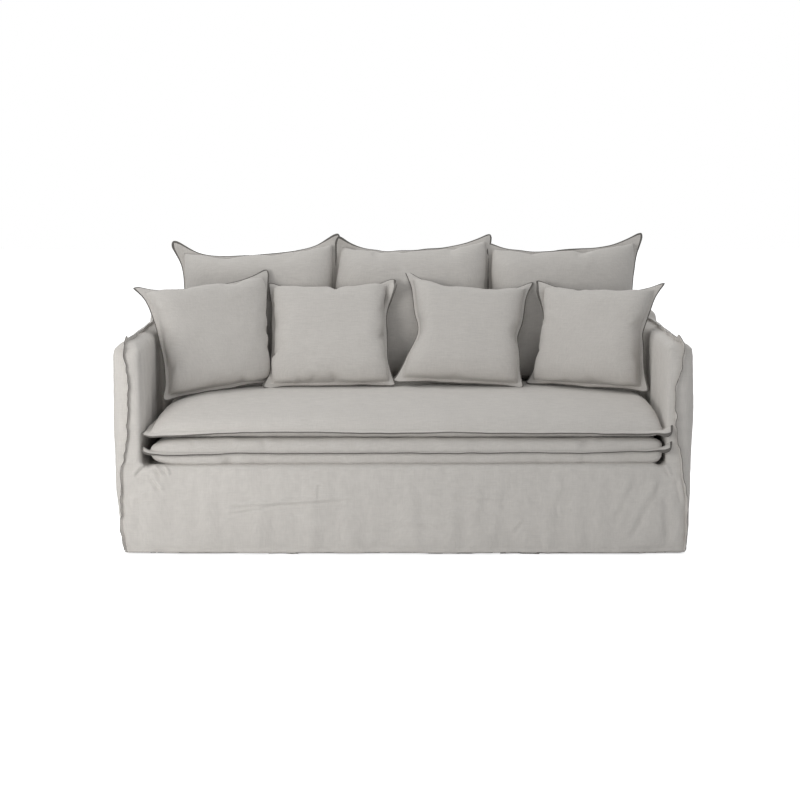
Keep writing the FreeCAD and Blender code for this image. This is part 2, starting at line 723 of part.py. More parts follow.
def make_slipcover():
    """The loose cover: two arms, the back, the seat deck, the front skirt and the raised arm seams."""
    inner_wall = box(
        0,
        ARM_INNER_X + COVER_T,
        FRONT_Y + COVER_T,
        REAR_Y,
        0,
        DECK_HEIGHT - COVER_T,
    )
    arm_hollow = arm_block(COVER_T, REAR_Y - COVER_T, HEM_GAP - OVERRUN)
    arm = arm_block(0).cut(arm_hollow).cut(inner_wall).cut(back_zone())
    wall_half = ARM_INNER_X + COVER_T
    back_wall = box(
        -wall_half, wall_half, BACK_FOOT_Y, BACK_FOOT_Y + COVER_T, 0, DECK_HEIGHT - COVER_T
    )
    back = back_block(0).cut(back_block(COVER_T, HEM_GAP - OVERRUN)).cut(back_wall)
    back = back.cut(arm_hollow).cut(mirrored(arm_hollow))
    seam_outline = [
        (FRONT_Y - SEAM_FLANGE_FRONT_W, HEM_GAP),
        (REAR_Y, HEM_GAP),
        (REAR_Y, arm_top_z(REAR_Y) + SEAM_FLANGE_TOP_W),
        (FRONT_Y - SEAM_FLANGE_FRONT_W, arm_top_z(FRONT_Y) + SEAM_FLANGE_TOP_W),
    ]
    seam = prism_yz(
        seam_outline,
        POST_MIDDLE_X - COVER_T / 2,
        POST_MIDDLE_X + COVER_T / 2,
        [0, 0, 0, ARM_NOSE_R],
    )
    seam = seam.cut(arm_block(0)).cut(back_zone())
    return {
        "cover_arm_right": arm,
        "cover_arm_left": mirrored(arm),
        "cover_back": back,
        "cover_deck": box(
            -ARM_INNER_X,
            ARM_INNER_X,
            FRONT_Y + COVER_T,
            BACK_FOOT_Y,
            DECK_HEIGHT - COVER_T,
            DECK_HEIGHT,
        ),
        "cover_front_skirt": make_front_skirt(),
        "arm_seam_right": seam,
        "arm_seam_left": mirrored(seam),
    }


class Pillow:
    """A flanged cushion in its own frame: width along X, height along Y, front crown along Z."""

    def __init__(self, width, height, flange, draw_in, front, rear, rolls):
        self.width = width
        self.height = height
        self.flange = flange
        self.draw_in = draw_in
        self.front = front
        self.rear = rear
        self.rolls = rolls

    def outline(self, margin, level):
        """Corners and mid-sides of the outline at a level of the crown, with a margin all round."""
        half_w = self.width / 2
        half_h = self.height / 2
        side = SIDE_SHARES[level]
        left, low, right, high = [margin + roll * CORNER_SHARES[level] for roll in self.rolls]
        corners = [
            (left - half_w, low - half_h),
            (half_w - right, low - half_h),
            (half_w - right, half_h - high),
            (left - half_w, half_h - high),
        ]
        left, low, right, high = [
            margin + self.draw_in * (1 - side) + roll * side for roll in self.rolls
        ]
        middles = [(0, low - half_h), (half_w - right, 0), (0, half_h - high), (left - half_w, 0)]
        return corners, middles

    def wire(self, margin, level, z):
        """The closed outline at a level of the crown: four arcs."""
        corners, middles = self.outline(margin, level)
        corners = [FreeCAD.Vector(*p, z) for p in corners]
        middles = [FreeCAD.Vector(*p, z) for p in middles]
        arcs = [
            Part.Arc(corners[i], middles[i], corners[(i + 1) % 4]).toShape() for i in range(4)
        ]
        return Part.Wire(arcs)

    def form(self, inset):
        """Both crowns as one solid, moved in by an inset."""
        halves = []
        for crown in (self.front - inset, inset - self.rear):
            wires = [
                self.wire(self.flange + inset, level, crown * share)
                for level, share in enumerate(HEIGHT_SHARES)
            ]
            halves.append(Part.makeLoft(wires, True, False))
        return halves[0].fuse(halves[1])

    def cover(self):
        """The sewn cover with its flange, hollow for the insert."""
        rim = Part.Face(self.wire(0, 0, -FLANGE_T / 2)).extrude(FreeCAD.Vector(0, 0, FLANGE_T))
        return self.form(0).fuse(rim).cut(self.form(CUSHION_WALL))

    def insert(self):
        """The filled insert."""
        return self.form(CUSHION_WALL + INSERT_GAP)

    def points(self):
        """Points that the cushion's outside goes through, for laying it against something."""
        found = []
        for level, share in enumerate(HEIGHT_SHARES):
            corners, middles = self.outline(self.flange, level)
            for crown in (self.front, -self.rear):
                found += [FreeCAD.Vector(*p, crown * share) for p in corners + middles]
        corners, middles = self.outline(0, 0)
        for z in (-FLANGE_T / 2, FLANGE_T / 2):
            found += [FreeCAD.Vector(*p, z) for p in corners]
        return found

    def parts(self, name, placement):
        """The cover and the insert, laid in their place."""
        made = {}
        for part, shape in (("cover", self.cover()), ("insert", self.insert())):
            shape.Placement = placement
            made[f"{name}_{part}"] = shape
        return made


def leaning(lean, yaw=0.0, turn=0.0):
    """The way that an upright cushion is turned: in its own plane, back, and about the upright."""
    upright = FreeCAD.Rotation(FreeCAD.Vector(1, 0, 0), 90 - lean)
    own = FreeCAD.Rotation(FreeCAD.Vector(0, 0, 1), turn)
    return FreeCAD.Rotation(FreeCAD.Vector(0, 0, 1), yaw).multiply(upright).multiply(own)


def make_benches():
    """The two bench cushions, one on the other on the seat deck."""
    middle_y = -SOFA_DEPTH / 2 + BENCH_DEPTH / 2
    seam_z = DECK_HEIGHT + FIT_GAP + LOWER_BENCH_DOWN
    upper_z = seam_z + LOWER_BENCH_UP + FIT_GAP + UPPER_BENCH_DOWN
    made = {}
    for name, up, down, z in (
        ("seat_cushion_lower", LOWER_BENCH_UP, LOWER_BENCH_DOWN, seam_z),
        ("seat_cushion_upper", UPPER_BENCH_UP, UPPER_BENCH_DOWN, upper_z),
    ):
        bench = Pillow(
            BENCH_WIDTH, BENCH_DEPTH, BENCH_FLANGE, BENCH_DRAW_IN, up, down, BENCH_ROLLS
        )
        place = FreeCAD.Placement(FreeCAD.Vector(0, middle_y, z), FreeCAD.Rotation())
        made.update(bench.parts(name, place))
    return made, upper_z + UPPER_BENCH_UP


def settle(pillow, turned, seat_z, rear_gap):
    """Depth and height of a cushion's middle, on the seat and a gap in front of the backrest."""
    spots = [turned.multVec(p) for p in pillow.points()]
    z = seat_z + FIT_GAP - min(p.z for p in spots)
    y = min(back_face_y(p.z + z) - p.y for p in spots) - rear_gap / BACK_COS
    return y, z


def make_back_cushions(seat_z):
    """The three large cushions against the backrest, from left to right."""
    made = {}
    turned = leaning(BACK_LEAN_DEG)
    left = -ARM_INNER_X + BACK_CUSHION_GAP
    for name, share in zip(("left", "centre", "right"), BACK_CUSHION_WIDTH_SHARES):
        pillow = Pillow(
            BACK_CUSHION_WIDTH * share,
            BACK_CUSHION_HEIGHT,
            BACK_CUSHION_FLANGE,
            BACK_CUSHION_DRAW_IN,
            BACK_CUSHION_FRONT,
            BACK_CUSHION_REAR,
            BACK_CUSHION_ROLLS,
        )
        y, z = settle(pillow, turned, seat_z, FIT_GAP)
        spot = FreeCAD.Vector(left + pillow.width / 2, y, z)
        made.update(pillow.parts("back_cushion_" + name, FreeCAD.Placement(spot, turned)))
        left += pillow.width + BACK_CUSHION_GAP
    return made


def make_scatter_cushions(seat_z):
    """The four scatter cushions in front of the back cushions, from left to right."""
    made = {}
    thickness = BACK_CUSHION_FRONT + BACK_CUSHION_REAR + FIT_GAP
    across = [
        share * math.cos(math.radians(yaw)) * math.cos(math.radians(turn))
        for share, yaw, turn in zip(SCATTER_WIDTH_SHARES, SCATTER_YAWS_DEG, SCATTER_TURNS_DEG)
    ]
    width = SCATTER_ROW_WIDTH / sum(across)
    left = -ARM_INNER_X + SCATTER_END_GAP
    for i, share in enumerate(SCATTER_WIDTH_SHARES):
        pillow = Pillow(
            width * share,
            SCATTER_HEIGHT,
            SCATTER_FLANGE,
            SCATTER_DRAW_IN,
            SCATTER_FRONT,
            SCATTER_REAR,
            SCATTER_ROLLS,
        )
        turned = leaning(SCATTER_LEANS_DEG[i], SCATTER_YAWS_DEG[i], SCATTER_TURNS_DEG[i])
        y, z = settle(pillow, turned, seat_z, thickness + SCATTER_REST_GAPS[i])
        foot = turned.multVec(FreeCAD.Vector(-pillow.width / 2, -pillow.height / 2, 0))
        spot = FreeCAD.Vector(left - foot.x, y, z)
        made.update(pillow.parts(f"scatter_cushion_{i + 1}", FreeCAD.Placement(spot, turned)))
        left += width * across[i] + SCATTER_GAP
    return made


os.makedirs("parts", exist_ok=True)
nodes = {}
nodes.update(make_frame())
nodes.update(make_foot_nodes())
nodes.update(make_springs())
nodes.update(make_webbing())
nodes.update(make_padding())
nodes.update(make_slipcover())
benches, seat_top = make_benches()
nodes.update(benches)
nodes.update(make_back_cushions(seat_top))
nodes.update(make_scatter_cushions(seat_top))
for node, solid in nodes.items():
    solid.exportStep(f"parts/{node}.step")
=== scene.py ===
import json
import math
from contextlib import contextmanager
from types import SimpleNamespace

import bmesh
import bpy
import numpy as np
from mathutils import Matrix, Vector
from mathutils.bvhtree import BVHTree

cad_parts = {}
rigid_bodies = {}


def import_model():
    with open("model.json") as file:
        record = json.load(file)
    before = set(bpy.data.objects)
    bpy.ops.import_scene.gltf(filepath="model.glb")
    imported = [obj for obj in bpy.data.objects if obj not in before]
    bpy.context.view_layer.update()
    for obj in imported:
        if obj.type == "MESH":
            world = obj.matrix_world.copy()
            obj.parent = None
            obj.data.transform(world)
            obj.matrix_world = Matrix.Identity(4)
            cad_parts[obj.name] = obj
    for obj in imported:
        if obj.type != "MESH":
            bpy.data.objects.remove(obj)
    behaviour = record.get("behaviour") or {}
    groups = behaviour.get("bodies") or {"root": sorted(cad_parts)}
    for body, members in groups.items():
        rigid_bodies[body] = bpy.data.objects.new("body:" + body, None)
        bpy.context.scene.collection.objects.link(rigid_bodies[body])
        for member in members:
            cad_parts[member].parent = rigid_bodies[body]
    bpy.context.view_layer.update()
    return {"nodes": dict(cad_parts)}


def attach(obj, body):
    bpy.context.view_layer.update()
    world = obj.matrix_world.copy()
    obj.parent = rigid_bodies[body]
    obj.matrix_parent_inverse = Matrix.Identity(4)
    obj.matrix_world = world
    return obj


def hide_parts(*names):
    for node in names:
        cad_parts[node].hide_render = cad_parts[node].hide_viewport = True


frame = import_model()

BACK_LEAN = 9.0  # degrees that the back and its cushions lean
CLOTH_FRAMES = 16
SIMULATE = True


# Helpers for points, meshes and noise
def leaning(lean, yaw=0.0, turn=0.0):
    """The directions of a cushion's width, height and front, as columns."""
    angles = (("Z", yaw), ("X", 90 - lean), ("Z", turn))
    z, x, spin = (np.array(Matrix.Rotation(math.radians(deg), 3, axis)) for axis, deg in angles)
    return z @ x @ spin


def shade_smooth(mesh):
    mesh.polygons.foreach_set("use_smooth", [True] * len(mesh.polygons))


def add_object(name, data):
    ob = bpy.data.objects.new(name, data)
    bpy.context.scene.collection.objects.link(ob)
    return ob


def mesh_object(name, verts, faces):
    mesh = bpy.data.meshes.new(name)
    mesh.from_pydata([tuple(v) for v in verts], [], [tuple(f) for f in faces])
    mesh.update()
    return add_object(name, mesh)


def get_co(ob, key="co"):
    """The place of each vertex, or its normal, as an array."""
    values = np.zeros(len(ob.data.vertices) * 3)
    ob.data.vertices.foreach_get(key, values)
    return values.reshape(-1, 3)


def node_points(name):
    """A CAD node's vertices at rest."""
    return get_co(frame["nodes"][name])


def corners_of(ob):
    """The vertex numbers of each face."""
    return [list(f.vertices) for f in ob.data.polygons]


def merged(meshes):
    """The vertices and faces of several meshes as those of one."""
    verts, faces = [], []
    for places, corners in meshes:
        faces += [[k + len(verts) for k in face] for face in corners]
        verts += places.tolist()
    return verts, faces


def unit(vectors):
    return vectors / np.linalg.norm(vectors, axis=1)[:, None]


def set_co(ob, co):
    ob.data.vertices.foreach_set("co", np.asarray(co, dtype=np.float64).ravel())
    ob.data.update()


def set_all(thing, settings):
    for key, value in settings.items():
        setattr(thing, key, value)


def add_modifier(ob, kind, **settings):
    mod = ob.modifiers.new(kind.lower(), kind)
    set_all(mod, settings)
    return mod


def apply_modifiers(ob):
    dg = bpy.context.evaluated_depsgraph_get()
    mesh = bpy.data.meshes.new_from_object(ob.evaluated_get(dg))
    old = ob.data
    ob.modifiers.clear()
    ob.data = mesh
    bpy.data.meshes.remove(old)
    mesh.name = ob.name


@contextmanager
def editing(ob):
    """An object's mesh as a BMesh, written back at the end."""
    bm = bmesh.new()
    bm.from_mesh(ob.data)
    yield bm
    bm.to_mesh(ob.data)
    bm.free()


def run_cloth(ob, stiffness, shear, gravity, **settings):
    """Runs the cloth simulation for a few frames and applies the result."""
    mod = add_modifier(ob, "CLOTH")
    cloth = mod.settings
    cloth.tension_stiffness = cloth.compression_stiffness = stiffness
    cloth.shear_stiffness = shear
    cloth.use_pressure = True
    cloth.effector_weights.gravity = gravity
    set_all(cloth, settings)
    set_all(mod.collision_settings, dict(use_collision=False, use_self_collision=False))
    set_all(mod.point_cache, dict(frame_start=1, frame_end=CLOTH_FRAMES + 1))
    for f in range(1, CLOTH_FRAMES + 1):
        bpy.context.scene.frame_set(f)
    apply_modifiers(ob)
    bpy.context.scene.frame_set(1)
    ob.vertex_groups.clear()


def grid_faces(ids):
    """The four-sided faces of a grid of point numbers."""
    return np.stack([ids[:-1, :-1], ids[1:, :-1], ids[1:, 1:], ids[:-1, 1:]], -1).reshape(-1, 4)


def turned_over(faces):
    return faces[:, [0, 3, 2, 1]]


def two_sides(x, y, front, rear, inside):
    """The points of two panels that share their rim, and the grid of point numbers of each."""
    ids = np.arange(x.size).reshape(x.shape)
    rear_ids = ids.copy()
    rear_ids[inside] = x.size + np.arange(inside.sum())
    over = points(x.ravel(), y.ravel(), front.ravel())
    return np.concatenate([over, points(x[inside], y[inside], rear[inside])]), ids, rear_ids


def shortened(moves, cap, scale):
    """The moves, each made short enough to stay under the cap."""
    reach = np.linalg.norm(moves, axis=1)
    return moves * (cap * np.tanh(reach / scale) / np.maximum(reach, 1e-9))[:, None]


def both_sides(*names):
    return tuple(name + side for name in names for side in ("_right", "_left"))


def points(x, y=0.0, z=0.0):
    return np.stack(np.broadcast_arrays(x, y, z), 1)


def lengths_along(path):
    return np.concatenate([[0], np.cumsum(np.linalg.norm(np.diff(path, axis=0), axis=1))])


def hash3(ix, iy, iz, seed):
    """A repeatable value from 0 to 1 at each lattice point."""
    n = (ix * 73856093) ^ (iy * 19349663) ^ (iz * 83492791) ^ (seed * 2654435761)
    n = (n ^ (n >> 13)) & 0x7FFFFFFF
    n = (n * (n * n * 15731 + 789221) + 1376312589) & 0x7FFFFFFF
    return n / float(0x7FFFFFFF)


def noise(p, size, seed=0):
    """Smooth noise from -1 to 1 with features of about the given size (a length, or one per axis)."""
    q = p / np.asarray(size, float)
    i = np.floor(q).astype(np.int64)
    f = q - i
    f = f * f * f * (f * (f * 6 - 15) + 10)
    total = np.zeros(len(p))
    for dx in (0, 1):
        wx = f[:, 0] if dx else 1 - f[:, 0]
        for dy in (0, 1):
            wy = f[:, 1] if dy else 1 - f[:, 1]
            for dz in (0, 1):
                wz = f[:, 2] if dz else 1 - f[:, 2]
                total += wx * wy * wz * hash3(i[:, 0] + dx, i[:, 1] + dy, i[:, 2] + dz, seed)
    return total * 2 - 1


def fbm(p, size, seed, octaves):
    """Noise in layers, each half as large and half as strong as the last."""
    total, amp = np.zeros(len(p)), 1.0
    size = np.asarray(size, float)
    for k in range(octaves):
        total += amp * noise(p + 7.31 * k, size / 2**k, seed + 17 * k)
        amp *= 0.5
    return total


def smoothstep(a, b, x):
    t = np.clip((x - a) / (b - a), 0, 1)
    return t * t * (3 - 2 * t)


def bell(x, width):
    return np.exp(-((x / width) ** 2))


def crease(p, a, b, width, depth):
    """How far out a soft fold line from a to b takes each point: a groove, with a lip on one side."""
    a, b = np.asarray(a, float), np.asarray(b, float)
    d = b - a
    length = np.linalg.norm(d)
    d = d / length
    rel = p - a
    t = rel @ d / length
    off = rel - np.outer(rel @ d, d)
    side = np.linalg.norm(off, axis=1)
    up = off[:, 2] / np.maximum(side, 1e-9)
    along = smoothstep(-0.02, 0.25, t) * (1 - smoothstep(0.75, 1.02, t))
    groove = -bell(side, width)
    lip = 0.8 * bell(side * np.sign(up) - 1.6 * width, 1.1 * width)
    return depth * along * (groove + lip)


# Materials
def new_material(name):
    mat = bpy.data.materials.new(name)
    mat.use_nodes = True
    nt = mat.node_tree
    return mat, nt, nt.nodes["Principled BSDF"]


def fill(nt, node, inputs):
    """Sets a node's inputs, given by name or number, or links outputs to them."""
    for key, value in inputs.items():
        if isinstance(value, bpy.types.NodeSocket):
            nt.links.new(value, node.inputs[key])
        else:
            node.inputs[key].default_value = value
    return node


def add_node(nt, kind, inputs=None, **settings):
    node = nt.nodes.new("ShaderNode" + kind)
    set_all(node, settings)
    return fill(nt, node, inputs or {})


def texture(nt, vector, kind, scale, detail, stretch=None, **settings):
    """A procedural texture on a vector, which may be stretched first; returns its value output."""
    if stretch is not None:
        vector = add_node(nt, "Mapping", {"Scale": stretch, "Vector": vector}).outputs["Vector"]
    node = add_node(nt, "Tex" + kind, {"Scale": scale, "Detail": detail, "Vector": vector})
    for key, value in settings.items():
        if hasattr(node, key):
            setattr(node, key, value)
        else:
            node.inputs[key.replace("_", " ").title()].default_value = value
    return node.outputs["Distance" if kind == "Voronoi" else "Fac"]


def one_axis(axis, along, across):
    return [along if k == axis else across for k in range(3)]


def calculated(nt, operation, *values):
    return add_node(nt, "Math", dict(enumerate(values)), operation=operation).outputs[0]


def joined(nt, a, b, share):
    """One value and a share of another, added."""
    return calculated(nt, "MULTIPLY_ADD", b, share, a)


def ranged(nt, value, source, target):
    """A value mapped from one range to another."""
    ends = dict(zip(("From Min", "From Max", "To Min", "To Max"), (*source, *target)))
    return add_node(nt, "MapRange", {"Value": value, **ends}).outputs["Result"]


def bumped(nt, bsdf, height, distance, strength):
    bump = add_node(nt, "Bump", {"Distance": distance, "Strength": strength, "Height": height})
    nt.links.new(bump.outputs["Normal"], bsdf.inputs["Normal"])


THREADS = 1 / 0.0011  # threads in a metre of the linen
THREAD_RUN = 35  # changes in a metre along a thread
SLUB_STRETCHES = ((26, 26, 420), (420, 420, 30))
LINEN_BUMP = 0.0006


def linen(name, base, slub=0.16):
    """Plain woven linen: threads all ways, thick and thin places in them, and faint blotches."""
    mat, nt, bsdf = new_material(name)
    coord = nt.nodes.new("ShaderNodeTexCoord").outputs["Object"]
    threads = [
        texture(nt, coord, "Noise", 1.0, 1.0, one_axis(axis, THREADS, THREAD_RUN)) for axis in (2, 0, 1)
    ]
    weave = calculated(nt, "ADD", calculated(nt, "ADD", *threads[:2]), threads[2])
    slubs = calculated(nt, "ADD", *(
        texture(nt, coord, "Noise", 1.0, 3.0, stretch, roughness=0.6) for stretch in SLUB_STRETCHES
    ))
    uneven = ranged(nt, slubs, (0.6, 1.4), (1 - slub * 0.28, 1 + slub * 0.22))
    blotched = ranged(nt, texture(nt, coord, "Noise", 7.0, 4.0), (0.3, 0.7), (0.98, 1.012))
    woven = ranged(nt, weave, (1.1, 1.9), (0.94, 1.05))
    shade = calculated(nt, "MULTIPLY", calculated(nt, "MULTIPLY", uneven, blotched), woven)
    tint = add_node(
        nt, "Mix", {"Factor": 1.0, "A": (*base, 1), "B": shade}, data_type="RGBA", blend_type="MULTIPLY"
    )
    bumped(nt, bsdf, joined(nt, slubs, weave, 0.5), LINEN_BUMP, 0.22)
    fill(nt, bsdf, {
        "Base Color": tint.outputs["Result"], "Roughness": 0.92, "Specular IOR Level": 0.2,
        "Sheen Weight": 0.25, "Sheen Roughness": 0.5, "Sheen Tint": (0.95, 0.93, 0.9, 1),
    })
    return mat


LINEN_COLOR = (0.53, 0.507, 0.48)
linen_mat = linen("linen_cover", LINEN_COLOR)
# A dark linen for every cut edge, flange rim and hem band: painted shade that outlines the edges.
painted_edge_shade = linen("linen_painted_edge_shade", (0.135, 0.127, 0.118), slub=0.8)
linen_cushion = linen("linen_cushion", LINEN_COLOR, slub=0.24)


def surface(name, colors, spread, rough, depth, *textures, metallic=0.0):
    """A material whose colour, roughness and bump all follow one pattern, the sum of some textures.

    Colours are the dark and the light one, spread the pattern values that they stand at, rough the
    roughness at the same two values, and depth the height of the bump in metres. A texture is its
    share in the pattern, kind, scale, detail and any other settings.
    """
    mat, nt, bsdf = new_material(name)
    coord = nt.nodes.new("ShaderNodeTexCoord").outputs["Object"]
    pattern = None
    for share, kind, scale, detail, *settings in textures:
        value = texture(nt, coord, kind, scale, detail, **(settings[0] if settings else {}))
        pattern = value if pattern is None else joined(nt, pattern, value, share)
    ramp = add_node(nt, "ValToRGB", {"Fac": pattern})
    for element, place, color in zip(ramp.color_ramp.elements, spread, colors):
        element.position = place
        element.color = (*color, 1)
    bumped(nt, bsdf, pattern, depth, 0.5)
    roughness = ranged(nt, pattern, spread, rough)
    fill(nt, bsdf, {"Base Color": ramp.outputs["Color"], "Roughness": roughness, "Metallic": metallic})
    return mat


def wood(name, colors, axis):
    """Sawn wood with its rings and grain running along one axis (0 for X, 1 for Y, 2 for Z)."""
    rings = dict(
        stretch=one_axis(axis, 1.2, 16.0), wave_type="RINGS", rings_direction="XYZ"[axis], distortion=5.0,
        detail_scale=0.8,
    )
    return surface(
        name, colors, (0.25, 1.35), (0.78, 0.58), 0.0004, (1, "Wave", 1.6, 3.0, rings),
        (0.7, "Noise", 1.0, 4.0, dict(stretch=one_axis(axis, 9.0, 420.0))),
    )


def band(way):
    return dict(wave_type="BANDS", bands_direction=way, distortion=0.6)


PINE = ((0.44, 0.29, 0.15), (0.72, 0.54, 0.33))
pine_x, pine_y, pine_z = (wood("pine_along_" + "xyz"[k], PINE, k) for k in range(3))
beech = wood("beech_feet", ((0.2, 0.11, 0.055), (0.36, 0.21, 0.11)), 2)
board = surface(
    "wood_fibre_board", ((0.26, 0.17, 0.1), (0.44, 0.31, 0.19)), (0.4, 1.0), (0.82, 0.7), 0.0003,
    (1, "Noise", 60.0, 6.0, dict(stretch=(1.0, 1.0, 3.0), roughness=0.7)),
    (0.4, "Noise", 520.0, 2.0),
)
steel = surface(
    "zinc_plated_steel", ((0.42, 0.43, 0.44), (0.68, 0.69, 0.7)), (0.2, 1.0), (0.42, 0.24), 0.00008,
    (1, "Voronoi", 260.0, 0.0), (0.6, "Noise", 90.0, 5.0), metallic=1.0,
)
wire = surface(
    "drawn_spring_wire", ((0.16, 0.155, 0.15), (0.36, 0.35, 0.34)), (0.35, 0.95), (0.46, 0.3), 0.00006,
    (1, "Noise", 35.0, 4.0), (0.35, "Noise", 900.0, 2.0), metallic=1.0,
)
plastic = surface(
    "moulded_glides", ((0.035, 0.035, 0.036), (0.075, 0.075, 0.076)), (0.4, 1.1), (0.55, 0.38), 0.00008,
    (1, "Noise", 700.0, 3.0), (0.5, "Noise", 25.0, 3.0),
)
webbing = surface(
    "jute_webbing", ((0.2, 0.15, 0.09), (0.52, 0.42, 0.28)), (0.4, 1.9), (0.95, 0.8), 0.0006,
    (1, "Wave", 105.0, 1.0, band("X")), (0.9, "Wave", 105.0, 1.0, band("Z")), (0.5, "Noise", 800.0, 2.0),
)
foam = surface(
    "cut_foam", ((0.62, 0.56, 0.4), (0.86, 0.82, 0.66)), (0.2, 1.0), (0.95, 0.88), 0.0004,
    (1, "Voronoi", 620.0, 0.0), (0.6, "Noise", 22.0, 5.0),
)
felt = surface(
    "needled_felt", ((0.045, 0.045, 0.048), (0.16, 0.16, 0.165)), (0.3, 1.4), (0.98, 0.9), 0.0004,
    (1, "Voronoi", 420.0, 0.0), (0.9, "Noise", 240.0, 6.0, dict(roughness=0.75)),
)
NODE_FINISH = {
    pine_x: ("front_rail", "back_rail", "back_top_rail"),
    pine_y: (*both_sides("side_rail", "arm_rail"), "seat_braces"),
    pine_z: (*both_sides("front_post", "rear_post"), "back_uprights", "frame_blocks"),
    board: (*both_sides("arm_boards"), "rear_board"),
    beech: ("feet",),
    plastic: ("foot_glides",),
    steel: ("foot_bolts", "post_bolts", "spring_clips"),
    wire: ("seat_springs",),
    webbing: ("back_webbing",),
}


# Flanged cushions
FLANGE_RINGS = 4
DRAW_POWER = 2.8  # the higher, the straighter the middle of a drawn-in side
ROLL_POWERS = (2.4, 0.6)  # how the thickness rises from the seam
BULGE_AT = 0.018  # how far in from the seam a side swells most
GATHER_REACH = 0.035
CLOTH_THICKNESS = 0.0024


def grid_axis(share, cells):
    """Positions from -1 to 1, with even cells between the seams and a few rings on each flange."""
    return np.concatenate([
        np.linspace(-1, -share, FLANGE_RINGS + 1)[:-1],
        np.linspace(-share, share, cells + 1),
        np.linspace(share, 1, FLANGE_RINGS + 1)[1:],
    ])


def round_corner(x, y, half_w, half_h, radius):
    """Rounds the four corners of a grid by pulling its corner points in along the diagonal."""
    p = np.clip((radius - (half_w - np.abs(x))) / radius, 0, 1)
    q = np.clip((radius - (half_h - np.abs(y))) / radius, 0, 1)
    new_x = np.where((p > 0) & (q > 0), half_w - radius * (1 - p * np.sqrt(1 - q * q / 2)), np.abs(x))
    new_y = np.where((p > 0) & (q > 0), half_h - radius * (1 - q * np.sqrt(1 - p * p / 2)), np.abs(y))
    return np.sign(x) * new_x, np.sign(y) * new_y


def pillow_mesh(name, w, h, front, rear, flange, draws, rolls, pitch, corner, bulge, notches=()):
    """A flanged cushion as two panels sewn together, in its own frame: width X, height Y, front Z.

    The front panel goes on past the seam as the flange. Draws are how far the left, low, right and
    high sides pull in halfway along, and rolls how far in from each side the full thickness starts.
    A notch is a short pinch of the left (-1) or right (1) side: its side, place, depth and width.
    """
    us, vs = 1 - 2 * flange / w, 1 - 2 * flange / h
    u = grid_axis(us, int(round(us * w / pitch)))
    v = grid_axis(vs, int(round(vs * h / pitch)))
    U, V = np.meshgrid(u, v, indexing="ij")
    X, Y = round_corner(U * w / 2, V * h / 2, w / 2, h / 2, corner)
    left, low, right, high = draws
    X -= np.sign(U) * np.where(U < 0, left, right) * (1 - np.abs(V) ** DRAW_POWER) * np.abs(U)
    Y -= np.sign(V) * np.where(V < 0, low, high) * (1 - np.abs(U) ** DRAW_POWER) * np.abs(V)
    for side, at, depth, width in notches:
        X -= side * depth * bell(V - at, width) * np.clip(side * U, 0, 1) ** 2
    a = (us - np.abs(U)) * w / 2
    b = (vs - np.abs(V)) * h / 2
    px = np.clip(a / np.where(U < 0, rolls[0], rolls[2]), 0, 1)
    py = np.clip(b / np.where(V < 0, rolls[1], rolls[3]), 0, 1)
    steep, full = ROLL_POWERS
    rise = (1 - (1 - px) ** steep) ** full * (1 - (1 - py) ** steep) ** full
    inside = (np.abs(U) < us - 1e-9) & (np.abs(V) < vs - 1e-9)
    rise = np.where(inside, rise, 0)
    for line, sign, gap in ((X, np.sign(U), a), (Y, np.sign(V), b)):
        t = np.clip(gap, 0, None) / BULGE_AT
        line += np.where(inside, sign * bulge * t * np.exp(1 - t) * np.clip(rise * 1.6, 0, 1), 0)
    verts, ids, back_ids = two_sides(X, Y, rise * front, -rise * rear, inside)
    r = FLANGE_RINGS
    rear_faces = turned_over(grid_faces(back_ids[r:-r, r:-r]))
    ob = mesh_object(name, verts, np.concatenate([grid_faces(ids), rear_faces]).tolist())
    # The outermost ring of faces of the flange takes the second material, the dark painted edge shade.
    hem = np.zeros((len(u) - 1, len(v) - 1), int)
    hem[[0, -1], :] = hem[:, [0, -1]] = 1
    finish = np.concatenate([hem.ravel(), np.zeros(len(rear_faces), int)])
    ob.data.polygons.foreach_set("material_index", finish.tolist())
    all_u, all_v = (np.concatenate([grid.ravel(), grid[inside]]) for grid in (U, V))
    i, j = np.meshgrid(np.arange(len(u)), np.arange(len(v)), indexing="ij")
    nearest = ids[np.clip(i, r, len(u) - 1 - r), np.clip(j, r, len(v) - 1 - r)]
    return ob, SimpleNamespace(
        ids=ids, back_ids=back_ids, start=verts, u=all_u, v=all_v, flange=flange, seam_of=nearest.ravel(),
        crown=np.concatenate([inside.ravel(), np.ones(inside.sum(), bool)]),
        in_from_seam=np.minimum((us - np.abs(all_u)) * w, (vs - np.abs(all_v)) * h) / 2,
        front_side=np.arange(len(verts)) < U.size,
    )


def inflate(ob, info, pressure):
    """Blows the cushion up between its seams with the cloth simulation."""
    group = ob.vertex_groups.new(name="crown")
    group.add(np.nonzero(info.crown)[0].tolist(), 1.0, "REPLACE")
    run_cloth(
        ob, 12, 4, 0.0, quality=5, mass=0.25, bending_stiffness=0.25, uniform_pressure_force=pressure,
        vertex_group_pressure="crown", shrink_min=-0.03, shrink_max=-0.03,
    )


def back_to_outline(co, info, cap):
    """Stretches the panels back to the outline they were sewn to, and caps how far they moved."""
    start, r = info.start, FLANGE_RINGS
    for grid in (info.ids, info.back_ids):
        for axis, lines in ((0, grid), (1, grid.T)):
            a, b = lines[r], lines[-r - 1]
            now_a, now_b = co[a, axis].copy(), co[b, axis].copy()
            to_a, to_b = start[a, axis], start[b, axis]
            inner = lines[r + 1:-r - 1]
            share = (co[inner, axis] - now_a) / (now_b - now_a)
            co[inner, axis] = to_a + share * (to_b - to_a)
    edge = ~info.crown
    co[edge, :2] = start[edge, :2]
    co[edge, 2] *= 0.5
    return start + shortened(co - start, cap, cap)


